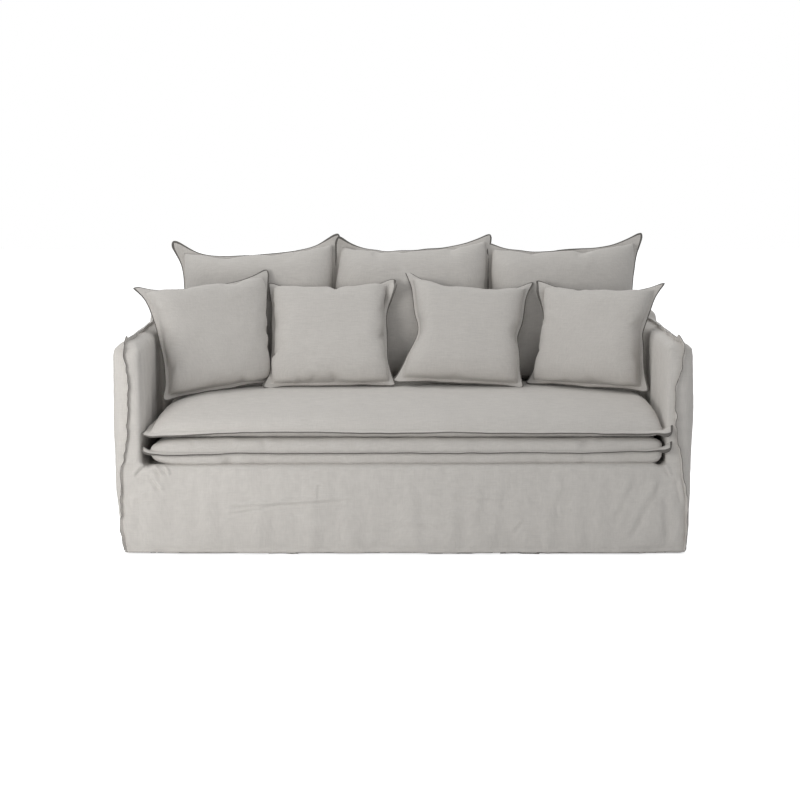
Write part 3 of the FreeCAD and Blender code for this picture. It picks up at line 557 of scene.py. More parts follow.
def gathers(co, info, depth, seed):
    """Small pleats that run in from the seam, where the panels are eased on to it."""
    s = np.where(np.abs(info.u) > np.abs(info.v), co[:, 1] + 3.0 * np.sign(info.u), co[:, 0])
    q = points(s, 0.02 * info.in_from_seam, np.where(info.front_side, 0.0, 9.0))
    where = np.clip(noise(q, 0.11, seed) + 0.25, 0, 1)
    fade = np.exp(-np.clip(info.in_from_seam, 0, None) / GATHER_REACH)
    pleat = noise(q, 0.017, seed + 1) + 0.5 * noise(q, 0.009, seed + 2)
    return depth * where * fade * pleat * np.clip(info.in_from_seam / 0.006, 0, 1)


def flange_form(co, info, depth, seed, bend, narrow, flaps):
    """Bends the flange back, or forward along the low side, narrows it halfway along and ripples it."""
    n = len(info.seam_of)
    u, v = info.u[:n], info.v[:n]
    seam = co[info.seam_of]
    off = co[:n] - seam
    off[:, 2] = 0
    corner = np.clip((np.minimum(np.abs(u), np.abs(v)) - 0.55) / 0.35, 0, 1) ** 2
    q = points(co[:n, 0], co[:n, 1])
    keep = narrow + (1 - narrow) * corner + 0.12 * noise(q, 0.05, seed + 8)
    low = smoothstep(-0.9, -0.97, v)
    lean = -bend * (1 - low) + 0.35 * low
    for fu, fv, radius, wider, forward in flaps:
        near = np.exp(-((u - fu) ** 2 + (v - fv) ** 2) / radius**2)
        keep += wider * near
        lean += forward * near
    off *= keep[:, None]
    reach = np.linalg.norm(off, axis=1)
    wave = fbm(q, 0.08, seed, 2) + 0.4 * noise(q, 0.028, seed + 4)
    share = np.clip(reach / info.flange, 0, 1.2)
    off[:, 2] = lean * reach * (1 - 0.5 * corner) + depth * wave * share**1.3
    out = co.copy()
    edge = ~info.crown[:n]
    out[:n][edge] = (seam + off)[edge]
    return out


def move_corners(co, info, steps, power):
    """Moves corners, each by its own step. The higher the power, the less of the cushion follows."""
    out = co.copy()
    for cu, cv, *step in steps:
        near = np.clip((1 + cu * info.u) / 2, 0, 1) * np.clip((1 + cv * info.v) / 2, 0, 1)
        out[:, :len(step)] += (near**power)[:, None] * np.array(step)
    return out


def finish_cloth(ob, mat, thickness, levels=1, offset=0.0):
    """Gives a panel its cloth thickness and smooths it; the cut edge takes the dark painted edge shade."""
    ob.data.materials.append(mat)
    ob.data.materials.append(painted_edge_shade)
    add_modifier(ob, "SOLIDIFY", thickness=thickness, offset=offset, material_offset_rim=1)
    if levels:
        add_modifier(ob, "SUBSURF", levels=levels, render_levels=levels)
    apply_modifiers(ob)
    shade_smooth(ob.data)


def cad_place(node, turned, front):
    """The middle of a CAD cushion's seam plane and its size, found from its solid."""
    local = node_points(node) @ turned
    lo, hi = local.min(0), local.max(0)
    return turned @ np.array([(lo[0] + hi[0]) / 2, (lo[1] + hi[1]) / 2, hi[2] - front]), hi - lo


# Camera, lamps, sky and floor
FOCAL_PIXELS, PICTURE_WIDTH, SENSOR_WIDTH = 1634.0, 800, 36
CAM_SHIFT = -0.0044
CAM_PLACE = (0.0, -5.55, 1.227)
CAM_PITCH = 8.1  # degrees below the level
WARM = (1.0, 0.99, 0.97)
LAMPS = (  # name, place, target, size, power, colour
    ("key", (-1.7, -2.1, 0.95), (-0.3, -0.4, 0.3), 1.0, 24, WARM),
    ("over", (-0.6, 0.7, 3.6), (0, -0.2, 0.4), 1.8, 27, WARM),
    ("front", (1.6, -5.2, 0.8), (0, 0, 0.35), 1.6, 13, (1.0, 0.995, 0.98)),
    ("rear", (1.4, 4.6, 2.2), (0, 0.4, 0.4), 2.4, 40, (0.99, 0.995, 1.0)),
)
SKY_COLOR, SKY_STRENGTH = (0.97, 0.985, 1.0, 1), 0.56
WHITE = (1, 1, 1, 1)
FLOOR_CORNERS = ((-14, -9, 0), (14, -9, 0), (14, 19, 0), (-14, 19, 0))
FLOOR_GLOW = 0.75  # what the floor adds of its own, seen by the camera only


def make_camera():
    data = bpy.data.cameras.new("camera")
    cam = add_object("camera", data)
    data.sensor_width = SENSOR_WIDTH
    data.lens = SENSOR_WIDTH * FOCAL_PIXELS / PICTURE_WIDTH
    data.shift_x = CAM_SHIFT
    data.clip_start, data.clip_end = 0.1, 100
    cam.location = CAM_PLACE
    cam.rotation_euler = (math.radians(90 - CAM_PITCH), 0, 0)
    bpy.context.scene.camera = cam


def make_lamp(name, place, target, size, power, color):
    data = bpy.data.lights.new(name, "AREA")
    set_all(data, dict(shape="RECTANGLE", size=size, size_y=size, energy=power, color=color))
    ob = add_object(name, data)
    ob.location = place
    ob.rotation_euler = (Vector(target) - Vector(place)).to_track_quat("-Z", "Y").to_euler()
    ob.visible_camera = False


def make_world():
    """A pale sky that lights the part, plain white where it is seen."""
    world = bpy.data.worlds.new("world")
    bpy.context.scene.world = world
    world.use_nodes = True
    nt = world.node_tree
    nt.nodes.clear()
    light = add_node(nt, "Background", {"Color": SKY_COLOR, "Strength": SKY_STRENGTH})
    white = add_node(nt, "Background", {"Color": WHITE, "Strength": 1.0})
    rays = add_node(nt, "LightPath").outputs
    seen = calculated(nt, "MAXIMUM", rays["Is Camera Ray"], rays["Is Glossy Ray"])
    seen = calculated(nt, "MAXIMUM", seen, rays["Is Transmission Ray"])
    mix = add_node(nt, "MixShader", {"Fac": seen, 1: light.outputs[0], 2: white.outputs[0]})
    add_node(nt, "OutputWorld", {"Surface": mix.outputs[0]})


def make_floor():
    floor = mesh_object("floor", FLOOR_CORNERS, [(0, 1, 2, 3)])
    mat, nt, bsdf = new_material("floor_pale")
    fill(nt, bsdf, {"Base Color": (0.8, 0.8, 0.8, 1), "Roughness": 0.9})
    glow = add_node(nt, "Emission", {"Color": WHITE, "Strength": FLOOR_GLOW})
    dark = add_node(nt, "Emission", {"Strength": 0.0})
    seen = add_node(nt, "LightPath").outputs["Is Camera Ray"]
    pick = add_node(nt, "MixShader", {"Fac": seen, 1: dark.outputs[0], 2: glow.outputs[0]})
    both = add_node(nt, "AddShader", {0: bsdf.outputs[0], 1: pick.outputs[0]})
    fill(nt, nt.nodes["Material Output"], {"Surface": both.outputs[0]})
    floor.data.materials.append(mat)


make_camera()
for lamp in LAMPS:
    make_lamp(*lamp)
make_world()
make_floor()
bpy.context.scene.view_settings.view_transform = "Standard"


# The loose cover
ARM_OUTER, SEAM_X = 0.92, 0.876  # an arm's outer face, and the seam along its ridge
ARM_FRONT, SKIRT_FRONT, REAR_EDGE = -0.442, -0.444, 0.45
FRONT_ZONE = -0.4  # points before this Y belong to the front
COVER_VOXEL = 0.012
COVER_THICKNESS = 0.0022
CAP_OUT, CAP_IN, CAP_ALONG = (0.009, 0.018), (0.004, 0.012), (0.006, 0.012)  # of its moves, with scales
HEM_HEIGHT, HEM_WAVE, HEM_WAVELENGTHS = 0.0055, 0.0012, (0.16, 0.16, 1.0)


def hull_of(cloud):
    """The convex hull of some points, as vertices and faces."""
    bm = bmesh.new()
    for p in cloud:
        bm.verts.new(p)
    made = bmesh.ops.convex_hull(bm, input=bm.verts)
    loose = [e for e in made["geom_interior"] + made["geom_unused"] if isinstance(e, bmesh.types.BMVert)]
    bmesh.ops.delete(bm, geom=list(set(loose)), context="VERTS")
    bm.verts.ensure_lookup_table()
    index = {v: k for k, v in enumerate(bm.verts)}
    verts = np.array([v.co[:] for v in bm.verts])
    faces = [[index[v] for v in f.verts] for f in bm.faces]
    bm.free()
    return verts, faces


def slip_form():
    """The outside of the upholstered frame as one closed mesh: arms, back and seat box joined."""
    forms = [hull_of(node_points(node)) for node in (*both_sides("cover_arm"), "cover_back")]
    deck = np.concatenate([node_points("cover_deck"), node_points("cover_front_skirt")])
    deck = np.concatenate([deck, deck * (1, 1, 0) + (0, 0, deck[:, 2].min())])
    deck[:, 0] += np.sign(deck[:, 0]) * 0.02
    deck[:, 1] = np.where(deck[:, 1] > 0, deck[:, 1] + 0.05, deck[:, 1])
    ob = mesh_object("slipcover", *merged(forms + [hull_of(deck)]))
    add_modifier(ob, "REMESH", mode="VOXEL", voxel_size=COVER_VOXEL)
    apply_modifiers(ob)
    return ob


def drape_slipcover(ob):
    """Lets the loose cover settle as cloth, and caps how far it moves."""
    before, normal = get_co(ob), get_co(ob, "normal")
    x, y = np.abs(before[:, 0]), before[:, 1]
    upright = np.clip(1 - np.abs(normal[:, 2]) * 1.3, 0, 1)
    corner = bell(np.abs(x - ARM_OUTER) + np.abs(y - ARM_FRONT), 0.03)
    seam = bell(x - SEAM_X, 0.012) * (y < FRONT_ZONE)
    low = smoothstep(0.05, 0.0, before[:, 2])
    hold = 1 - smoothstep(0.15, 0.75, upright)
    for least in (0.035, 0.35 * corner, 0.5 * seam, 0.12 * low):
        hold = np.maximum(hold, least)
    group = ob.vertex_groups.new(name="held")
    steps = np.round(hold * 40) / 40
    for s in np.unique(steps):
        group.add(np.nonzero(steps == s)[0].tolist(), float(max(s, 0.02)), "REPLACE")
    run_cloth(
        ob, 15, 5, 0.6, quality=4, mass=0.3, bending_stiffness=1.5, vertex_group_mass="held",
        pin_stiffness=1.0, shrink_min=-0.025, shrink_max=-0.025, uniform_pressure_force=0.6,
    )
    move = get_co(ob) - before
    out = (move * normal).sum(1)
    slide = move - out[:, None] * normal
    for way, (cap, scale) in ((out > 0, CAP_OUT), (out < 0, CAP_IN)):
        out[way] = cap * np.tanh(out[way] / scale)
    slide = shortened(slide, *CAP_ALONG)
    set_co(ob, before + out[:, None] * normal + slide)


# Creases of the front skirt as the photograph shows them: X and Z of both ends, width, depth
SKIRT_CREASES = (
    (-0.59, 0.15, -0.15, 0.176, 0.006, 0.0034),
    (-0.565, 0.13, -0.4, 0.158, 0.0056, 0.0028),
    (-0.27, 0.232, -0.273, 0.175, 0.0045, 0.0018),
    (-0.806, 0.296, -0.77, 0.252, 0.005, 0.008),
    (-0.768, 0.296, -0.748, 0.254, 0.0045, 0.007),
    (-0.812, 0.258, -0.772, 0.2, 0.007, 0.0052),
    (-0.812, 0.304, -0.856, 0.25, 0.006, 0.006),
    (0.735, 0.235, 0.672, 0.095, 0.012, 0.0022),
    (0.832, 0.245, 0.752, 0.11, 0.013, 0.0034),
    (0.77, 0.135, 0.722, 0.05, 0.011, 0.0034),
    (0.838, 0.205, 0.846, 0.03, 0.015, 0.0064),
    (0.868, 0.205, 0.862, 0.06, 0.011, 0.0034),
    (0.822, 0.298, 0.846, 0.25, 0.005, 0.0055),
    (0.866, 0.25, 0.884, 0.165, 0.0065, 0.0042),
    (0.385, 0.11, 0.35, 0.066, 0.007, 0.0016),
    (0.485, 0.165, 0.495, 0.11, 0.007, 0.0014),
    (0.16, 0.182, 0.32, 0.168, 0.008, 0.0014),
    (-0.1, 0.1, 0.18, 0.083, 0.009, 0.0016),
)

# The timbers, boards and feet close under the cover
COVERED_FRAME = (
    *both_sides("arm_boards"), "rear_board", "front_rail", "back_rail",
    *both_sides("front_post", "rear_post", "side_rail"), "feet",
)


def skirt_creases(p):
    total = np.zeros(len(p))
    near = p[:, 1] < FRONT_ZONE
    for x0, z0, x1, z1, width, depth in SKIRT_CREASES:
        total[near] += crease(p[near], (x0, SKIRT_FRONT, z0), (x1, SKIRT_FRONT, z1), width, depth)
    return total


def panel_seams(p):
    """How far out the plain seams take each point: the rear corners, a little puckered, and the hem."""
    x, y, z = np.abs(p[:, 0]), p[:, 1], p[:, 2]
    pucker = 0.7 + 0.5 * noise(p, 0.022, 33)
    corner = np.hypot(x - ARM_OUTER, y - REAR_EDGE)
    total = -0.0024 * bell(corner, 0.011) * pucker
    beside = bell(corner - 0.02, 0.012) * (z < 0.68)
    total += 0.001 * beside * noise(p, (0.05, 0.05, 0.03), 34)
    fold = np.abs(z - 0.026) + 0.2 * (z > 0.05)
    return total - 0.0012 * bell(fold, 0.006)


def outside_board(p, n, clear=0.0008, soft=0.0007):
    """The points, with those of the rear kept just outside the board of the back, which has no foam."""
    out = p.copy()
    face = node_points("rear_board")[:, 1].max() + clear
    rear = n[:, 1] > 0.8
    out[rear, 1] = face + soft * np.logaddexp(0, (p[rear, 1] - face) / soft)
    return out


def outside_frame(p, n, clear=0.0012, reach=0.01):
    """The points, with those that a crease or fold takes into the frame moved back out of it."""
    frame_parts = (frame["nodes"][node] for node in COVERED_FRAME)
    solid = BVHTree.FromPolygons(*merged((get_co(part), corners_of(part)) for part in frame_parts))
    out = p.copy()
    for k, (point, normal) in enumerate(zip(p, n)):
        way = Vector(normal)
        hit = solid.ray_cast(Vector(point) + way * reach, -way, reach + clear)
        if hit[0] is not None and hit[1].dot(way) > 0.3:
            out[k] = point + normal * (reach + clear - hit[3])
    return out


def refine_front(ob):
    """Halves the mesh of the seat box's front, which carries the finest creases."""
    with editing(ob) as bm:
        middles = {f: f.calc_center_median() for f in bm.faces}
        front = [f for f, m in middles.items() if f.normal.y < -0.8 and m.y < FRONT_ZONE and m.z < 0.3]
        edges = list({e for f in front for e in f.edges})
        bmesh.ops.subdivide_edges(bm, edges=edges, cuts=1, use_grid_fill=True)


def surface_detail(p, n):
    """How far out the cover's surface lies: broad waves, fine ones, hanging folds, creases and seams."""
    upright = smoothstep(0.3, 0.8, 1 - np.abs(n[:, 2]))
    out = 0.0028 * fbm(p, (0.22, 0.22, 0.34), 4, 3) * (0.35 + 0.65 * upright)
    out += 0.0012 * fbm(p, (0.05, 0.05, 0.11), 9, 2)
    out += 0.0004 * fbm(p, 0.018, 12, 2)
    hang = noise(p, (0.11, 0.11, 0.9), 21) + 0.6 * noise(p, (0.05, 0.05, 0.6), 22)
    out += 0.0034 * hang * (smoothstep(0.26, 0.02, p[:, 2]) * upright)
    return out + skirt_creases(p) + panel_seams(p)


def open_underside(ob, underside):
    """Takes the faces below the cover away and evens the hem that they leave."""
    with editing(ob) as bm:
        bm.faces.ensure_lookup_table()
        bmesh.ops.delete(bm, geom=[bm.faces[k] for k in underside], context="FACES")
        rim = [v for v in bm.verts if v.is_boundary and v.co.z < 0.04]
        edge = np.array([v.co[:] for v in rim])
        edge[:, 2] = np.minimum(edge[:, 2], HEM_HEIGHT + HEM_WAVE * noise(edge, HEM_WAVELENGTHS, 5))
        for v, place in zip(rim, edge):
            v.co = place


def make_slipcover():
    """The loose linen cover of the frame, and a tree of its outer skin to find places on."""
    ob = slip_form()
    if SIMULATE:
        drape_slipcover(ob)
    add_modifier(ob, "SUBSURF", levels=1)
    apply_modifiers(ob)
    refine_front(ob)
    p, n = get_co(ob), get_co(ob, "normal")
    roll = bell(p[:, 1] + 0.425, 0.035) * smoothstep(0.235, 0.275, p[:, 2]) * (p[:, 2] < 0.31)
    p[:, 2] += 0.013 * roll * smoothstep(0.835, 0.79, np.abs(p[:, 0])) * (1 + 0.3 * p[:, 0])
    p = p + surface_detail(p, n)[:, None] * n
    p = outside_board(p, n)
    hem = smoothstep(0.09, 0.0, p[:, 2])
    p[:, 2] += hem * (0.0016 * noise(p, HEM_WAVELENGTHS, 5) + 0.003 * (p[:, 0] / 0.9) ** 4 - 0.0075)
    tuck = hem * smoothstep(0.8, 0.92, np.abs(p[:, 0])) * smoothstep(-0.3, -0.44, p[:, 1])
    p[:, 0] -= np.sign(p[:, 0]) * tuck * np.where(p[:, 0] < 0, 0.014, 0.006)
    p = outside_frame(p, n)
    p[:, 2] = np.maximum(p[:, 2], COVER_THICKNESS)
    p -= (n * (1, 1, 0)) * (0.005 * smoothstep(0.011, 0.002, p[:, 2]))[:, None]
    underside = [f.index for f in ob.data.polygons if f.normal.z < -0.6 and f.center.z < 0.03]
    set_co(ob, p)
    open_underside(ob, underside)
    faces = ob.data.polygons
    skin = BVHTree.FromPolygons(get_co(ob).tolist(), corners_of(ob))
    # The lowest upright band of the cover takes the dark second material: a painted shade line along the
    # hem.
    faces.foreach_set("material_index", [int(f.center.z < 0.0075 and abs(f.normal.z) < 0.8) for f in faces])
    finish_cloth(ob, linen_mat, COVER_THICKNESS, 0, -1.0)
    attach(ob, "base")
    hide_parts("cover_arm_right", "cover_arm_left", "cover_back", "cover_deck", "cover_front_skirt")
    return ob, skin


def on_skin(skin, point, direction):
    """The point of the cover met when coming in along a direction from outside."""
    d = Vector(direction).normalized()
    hit = skin.ray_cast(Vector(point) + d * 0.05, -d, 0.1)
    return np.array(hit[0][:]) if hit[0] is not None else np.array(point, float)


def smooth_path(path, step):
    """A smooth curve through given points, cut into even steps."""
    pts = np.array(path, float)
    t = lengths_along(pts)
    n = int(t[-1] / step)
    s = np.linspace(0, t[-1], n + 1)
    slope = np.gradient(pts, t, axis=0)
    k = np.clip(np.searchsorted(t, s, side="right") - 1, 0, len(t) - 2)
    h = (t[k + 1] - t[k])[:, None]
    u = ((s - t[k]) / h[:, 0])[:, None]
    a, b, da, db = pts[k], pts[k + 1], slope[k], slope[k + 1]
    return (
        a * (2 * u**3 - 3 * u**2 + 1) + b * (3 * u**2 - 2 * u**3)
        + da * h * (u**3 - 2 * u**2 + u) + db * h * (u**3 - u**2)
    ), s


def seam_flange(name, path, outs, skin, height, seed, lean, ear=None):
    """A raw double edge standing from a seam along a path, rippled, and taller at an ear."""
    root, ruffle = 0.003, 0.0045
    line, s = smooth_path(path, 0.0035)
    t_pts = lengths_along(np.array(path))
    t_pts /= t_pts[-1]
    out = unit(np.stack([np.interp(s / s[-1], t_pts, np.array(outs, float)[:, k]) for k in range(3)], 1))
    line = np.array([on_skin(skin, p, d) for p, d in zip(line, out)])
    padded = np.pad(line, ((2, 2), (0, 0)), mode="edge")
    line = np.stack([np.convolve(padded[:, k], np.ones(5) / 5, "valid") for k in range(3)], 1)
    side = unit(np.cross(unit(np.gradient(line, axis=0)), out))
    q = points(s)
    wave = fbm(q, 0.045, seed, 2) + 0.55 * noise(q, 0.018, seed + 3)
    tall = height * (1 + 0.22 * noise(q, 0.06, seed + 5) + 0.1 * noise(q, 0.015, seed + 6))
    if ear is not None:
        tall *= 1 + 1.1 * bell(s - ear, 0.016) + 0.6 * bell(s - ear - 0.05, 0.012)
    rows = np.linspace(0, 1, 6)
    verts = np.concatenate([
        line + out * ((tall + root) * r - root)[:, None]
        + side * ((ruffle * wave * r**1.3) + lean * tall * r**2)[:, None]
        for r in rows
    ])
    ids = np.arange(len(verts)).reshape(len(rows), -1)
    ob = mesh_object(name, verts, turned_over(grid_faces(ids)).tolist())
    finish_cloth(ob, linen_mat, 0.0028)
    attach(ob, "base")
    return ob


# Along an arm's ridge and down its front: Y, Z, how far out from the seam's line the seam strays on
# the right and on the left arm, and the way that its flange stands there, with X outwards
ARM_SEAM = (
    (0.355, 0.69, 0, 0, (0, 0, 1)), (0.2, 0.688, 0, 0, (0, 0, 1)),
    (0, 0.684, 0, 0, (0, 0, 1)), (-0.2, 0.68, 0, 0, (0, 0, 1)),
    (-0.36, 0.677, 0.004, 0.004, (0, -0.15, 1)), (-0.405, 0.665, 0.01, 0.01, (0, -0.7, 0.8)),
    (-0.43, 0.64, 0.01, 0.01, (0, -1, 0.4)), (-0.442, 0.6, 0, -0.002, (0, -1, 0)),
    (-0.443, 0.54, -0.012, -0.006, (0, -1, 0)), (-0.443, 0.46, -0.016, -0.004, (0, -1, 0)),
    (-0.443, 0.38, -0.01, 0, (0.1, -1, 0)), (-0.443, 0.31, 0.004, 0.012, (0.25, -1, 0)),
    (-0.442, 0.26, 0.01, 0.02, (0.5, -1, 0)), (-0.441, 0.18, 0.024, 0.024, (0.7, -1, 0)),
    (-0.44, 0.11, 0.026, 0.026, (0.8, -1, 0)), (-0.44, 0.012, 0.02, 0.02, (0.8, -1, 0)),
)
BACK_SEAM_HALF = (
    (0.876, 0.35, 0.69), (0.875, 0.385, 0.7), (0.862, 0.405, 0.712), (0.82, 0.41, 0.716),
    (0.6, 0.41, 0.716), (0.3, 0.41, 0.716),
)


def make_seams(skin):
    flanges = []
    for side, name, seed in ((1, "right", 51), (-1, "left", 71)):
        path = [(side * (SEAM_X + (r if side > 0 else l)), y, z) for y, z, r, l, _ in ARM_SEAM]
        outs = [(side * out[0], *out[1:]) for *_, out in ARM_SEAM]
        ob = seam_flange("seam_flange_" + name, path, outs, skin, 0.0125, seed, 0.3 * side, 0.735)
        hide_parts("arm_seam_" + name)
        flanges.append(ob)
    path = [*BACK_SEAM_HALF, (0.0, 0.41, 0.716), *((-x, y, z) for x, y, z in reversed(BACK_SEAM_HALF))]
    flanges.append(seam_flange("seam_flange_back", path, [(0, 0, 1)] * len(path), skin, 0.0105, 91, -0.3))
    return flanges


# The loose cushions
def make_cushion(
    body, turned, front, rear, seed, pulls, ears, flaps, ripple, stuffing, wider=0, fill=0.86, pressure=4,
    cap=0.022, gather=0.0036, bend=0.4, narrow=0.72, bench=None, **panels
):
    """One loose cushion: sewn panels, blown up, gathered, and laid in its place."""
    middle, extent = cad_place(body + "_cover", turned, front)
    w, h = extent[0] + wider, extent[1]
    ob, info = pillow_mesh(body + "_linen", w, h, front * fill, rear * fill, **panels)
    co = get_co(ob)
    if SIMULATE:
        co[:, 2] += 0.0015 * fbm(co, 0.09, seed, 2) * info.crown
        set_co(ob, co)
        inflate(ob, info, pressure)
        co = back_to_outline(get_co(ob), info, cap)
    else:
        co[:, 2] *= 1 / fill
    co[:, 2] += np.sign(co[:, 2]) * gathers(co, info, gather, seed + 40)
    co[:, 2] += 0.0012 * fbm(co, 0.05, seed + 7, 2) * info.crown
    co = flange_form(co, info, ripple, seed + 60, bend, narrow, flaps)
    if bench is not None:
        bench_form(co, info, *bench, seed)
    co = move_corners(co, info, pulls, 1.3)
    co = move_corners(co, info, ears, 12)
    co[:, 2] = np.clip(co[:, 2], -rear - 0.002, front + 0.014)
    set_co(ob, co @ turned.T + middle)
    finish_cloth(ob, linen_cushion, CLOTH_THICKNESS)
    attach(ob, body)
    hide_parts(body + "_cover", body + "_insert")


def bench_form(co, info, droop, pinch, lift, dome, seed):
    """Shapes a long seat cushion: its front flange hangs, and its front corners are pinched up.

    Lift is how far its front rises on the rolled edge of the seat box, and dome how far its top swells.
    """
    u, v = info.u, info.v
    out = np.clip(-info.in_from_seam / info.flange, 0, 1)
    q = points(co[:, 0])
    sway = 1 + 0.22 * noise(q, 0.17, seed) + 0.08 * noise(q, 0.05, seed + 3)
    middle = 1 - smoothstep(0.955, 1.0, np.abs(u))
    fall = smoothstep(-0.9, -1.0, v) * out * middle
    co[:, 2] -= droop * fall * sway
    co[:, 1] += 0.55 * droop * fall * sway
    end = smoothstep(0.9, 1.0, np.abs(u)) * smoothstep(-0.5, -0.95, v)
    co[:, 2] += pinch * end
    raised = smoothstep(-0.72, -0.95, v) * (1 + 0.3 * u)
    above = info.front_side & (info.in_from_seam > 0)
    co[:, 2] += lift * raised * np.where(above, 0.4, 1.0)
    swell = (1 - np.abs(u) ** 4) * np.clip(1 - ((v - 0.25) / 0.8) ** 2, 0, 1)
    co[:, 2] += dome * swell * above


cover, cover_skin = make_slipcover()
flanges = make_seams(cover_skin)

# In each cushion's own frame, where u and v run from -1 to 1 across and up. Pulls move a whole corner
# and ears only its tip. A flap is a stretch of the flange around (u, v), of a radius in the same units,
# that is so much wider and flops so far forward. Draws and rolls are those of pillow_mesh.
BENCH = dict(
    turned=np.eye(3), flange=0.024, draws=(0.004, 0, 0.002, 0.002), pitch=0.014, wider=0.012,
    fill=0.94, stuffing=0.8, pressure=3.0, cap=0.01, corner=0.036, bend=0.0, narrow=0.9, ripple=0.0022,
    gather=0.0032,
)
make_cushion(
    body="seat_cushion_lower", front=0.045, rear=0.04, rolls=(0.13, 0.03, 0.05, 0.05), seed=3,
    bulge=0.009, bench=(0.012, 0.006, 0.012, 0),
    pulls=((1, -1, 0.02, -0.004), (1, 1, 0.01, 0), (-1, -1, -0.002, 0)),
    ears=((1, -1, 0.003, -0.008, 0.009), (-1, -1, -0.006, -0.008, 0.004)),
    flaps=((1, 0.3, 1.1, -0.6, 0), (1, -0.93, 0.06, 0.5, 2.0), (0.99, -1, 0.03, 0.5, -1.6),
           (-1, -0.93, 0.05, 0.1, 1.2), (-0.99, -1, 0.03, 0.1, -1.2)),
    **BENCH,
)
make_cushion(
    body="seat_cushion_upper", front=0.072, rear=0.032, rolls=(0.17, 0.24, 0.048, 0.05), seed=5,
    bulge=0.004, bench=(0.016, -0.002, 0, 0.006),
    pulls=((1, -1, 0.02, -0.004), (1, 1, 0.014, 0)),
    ears=((1, -1, 0.003, -0.008, 0.002), (-1, -1, -0.006, -0.008, -0.014)),
    flaps=((1, 0.3, 1.1, -0.6, 0), (1, -0.93, 0.06, 0.4, 1.7), (0.99, -1, 0.03, 0.5, -1.6)),
    **BENCH,
)
BACK = dict(
    turned=leaning(BACK_LEAN), front=0.088, rear=0.074, flange=0.023, rolls=(0.11, 0.1, 0.11, 0.1),
    pitch=0.0105, stuffing=0.65, ripple=0.007, corner=0.024, bulge=0.008,
)
make_cushion(
    body="back_cushion_left", seed=11, draws=(0.034, 0.002, -0.013, 0.049),
    pulls=((-1, 1, 0.012, -0.031), (1, 1, 0.018, 0.004)),
    ears=((-1, 1, 0.002, 0.002, -0.012), (1, 1, 0.006, 0.006, -0.006)),
    flaps=((-1, 0.95, 0.22, 0.8, 0.6), (1, 1, 0.2, 0.3, 0.3)),
    **BACK,
)
make_cushion(
    body="back_cushion_centre", seed=12, draws=(-0.02, 0.002, -0.006, 0.046),
    pulls=((-1, 1, 0.02, -0.008), (1, 1, 0.016, 0.018)),
    ears=((-1, 1, -0.004, 0.006, 0.012), (1, 1, 0.006, 0, -0.01)),
    flaps=((-1, 1, 0.16, 0.3, 1.2),),
    **BACK,
)
make_cushion(
    body="back_cushion_right", seed=13, draws=(-0.006, 0.002, 0.012, 0.042),
    pulls=((-1, 1, 0, -0.016), (1, 1, 0.02, 0.01)),
    ears=((-1, 1, -0.004, 0, -0.012), (1, 1, 0.006, 0.004, -0.004)),
    flaps=((1, 1, 0.2, 0.35, 0.3), (0.2, 1, 0.3, 0.2, 0.3)),
    **BACK,
)
SCATTER = dict(
    front=0.062, rear=0.052, flange=0.022, rolls=(0.09, 0.08, 0.09, 0.08), pitch=0.009, stuffing=0.6,
    corner=0.02, bulge=0.007, gather=0.005, ripple=0.005,
)
make_cushion(
    body="scatter_cushion_1", seed=31, turned=leaning(20.0, 30.0), draws=(0.036, 0, 0, 0.028),
    wider=0.022, flaps=((-1, -0.5, 0.4, 0.2, 0.5), (1, 0.7, 0.3, 0.35, 0.3)),
    pulls=((-1, 1, -0.01, -0.038), (1, 1, 0.052, 0.002), (1, -1, 0, 0.02),
           (-1, -1, 0.022, -0.018)),
    ears=((-1, 1, -0.004, 0.002, -0.012), (1, 1, 0.004, 0.006, -0.006), (-1, -1, -0.004, 0, 0.01)),
    **SCATTER,
)
make_cushion(
    body="scatter_cushion_2", seed=32, turned=leaning(28.0, 0, 0.6), draws=(0.006, 0, 0.028, 0.035),
    flaps=((1, 0.68, 0.22, 1.5, 1.7), (-1, -1, 0.2, 0.4, 0.6)),
    pulls=((-1, 1, -0.022, -0.013), (1, 1, -0.022, -0.004), (-1, -1, -0.022, 0.002),
           (1, -1, -0.014, 0.006)),
    ears=((1, 1, 0.004, -0.014, 0.018), (-1, 1, -0.002, 0, -0.006), (-1, -1, -0.006, 0, 0.012)),
    **SCATTER,
)
make_cushion(
    body="scatter_cushion_3", seed=33, turned=leaning(28.0, 0, -3.0), draws=(0.038, 0, 0.024, 0.052),
    flaps=((-1, 1, 0.2, 0.2, 0.2), (1, 0.2, 0.3, 0.2, 0.4)),
    notches=((-1, -0.1, 0.026, 0.3), (1, -0.08, 0.014, 0.22)),
    pulls=((-1, 1, -0.022, 0.012), (1, 1, -0.008, -0.012), (-1, -1, -0.04, 0.003),
           (1, -1, -0.026, 0.001)),
    ears=((-1, 1, 0, 0.004, -0.01), (1, 1, 0.006, 0.004, -0.008)),
    **SCATTER,
)
make_cushion(
    body="scatter_cushion_4", seed=34, turned=leaning(18.0, -27.0), draws=(0.024, 0, 0.03, 0.034),
    flaps=((-1, 0.7, 0.25, 0.5, 1.4), (1, -0.6, 0.3, 0.3, 0.5)), notches=((1, 0.12, 0.012, 0.25),),
    pulls=((1, 1, 0.012, -0.036), (-1, -1, -0.03, 0.009), (-1, 1, -0.03, -0.043),
           (1, -1, 0.006, 0.007)),
    ears=((-1, 1, -0.004, 0, 0.016), (1, 1, 0.006, 0.01, -0.01), (1, -1, 0.008, 0, 0.006)),
    **SCATTER,
)


# Pads and felts under the cover
PAD_GAP = 0.0034  # between the cover's outside and what lies under it


def finish_pad(ob, node, mat):
    ob.data.materials.append(mat)
    shade_smooth(ob.data)
    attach(ob, "base")
    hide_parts(node)


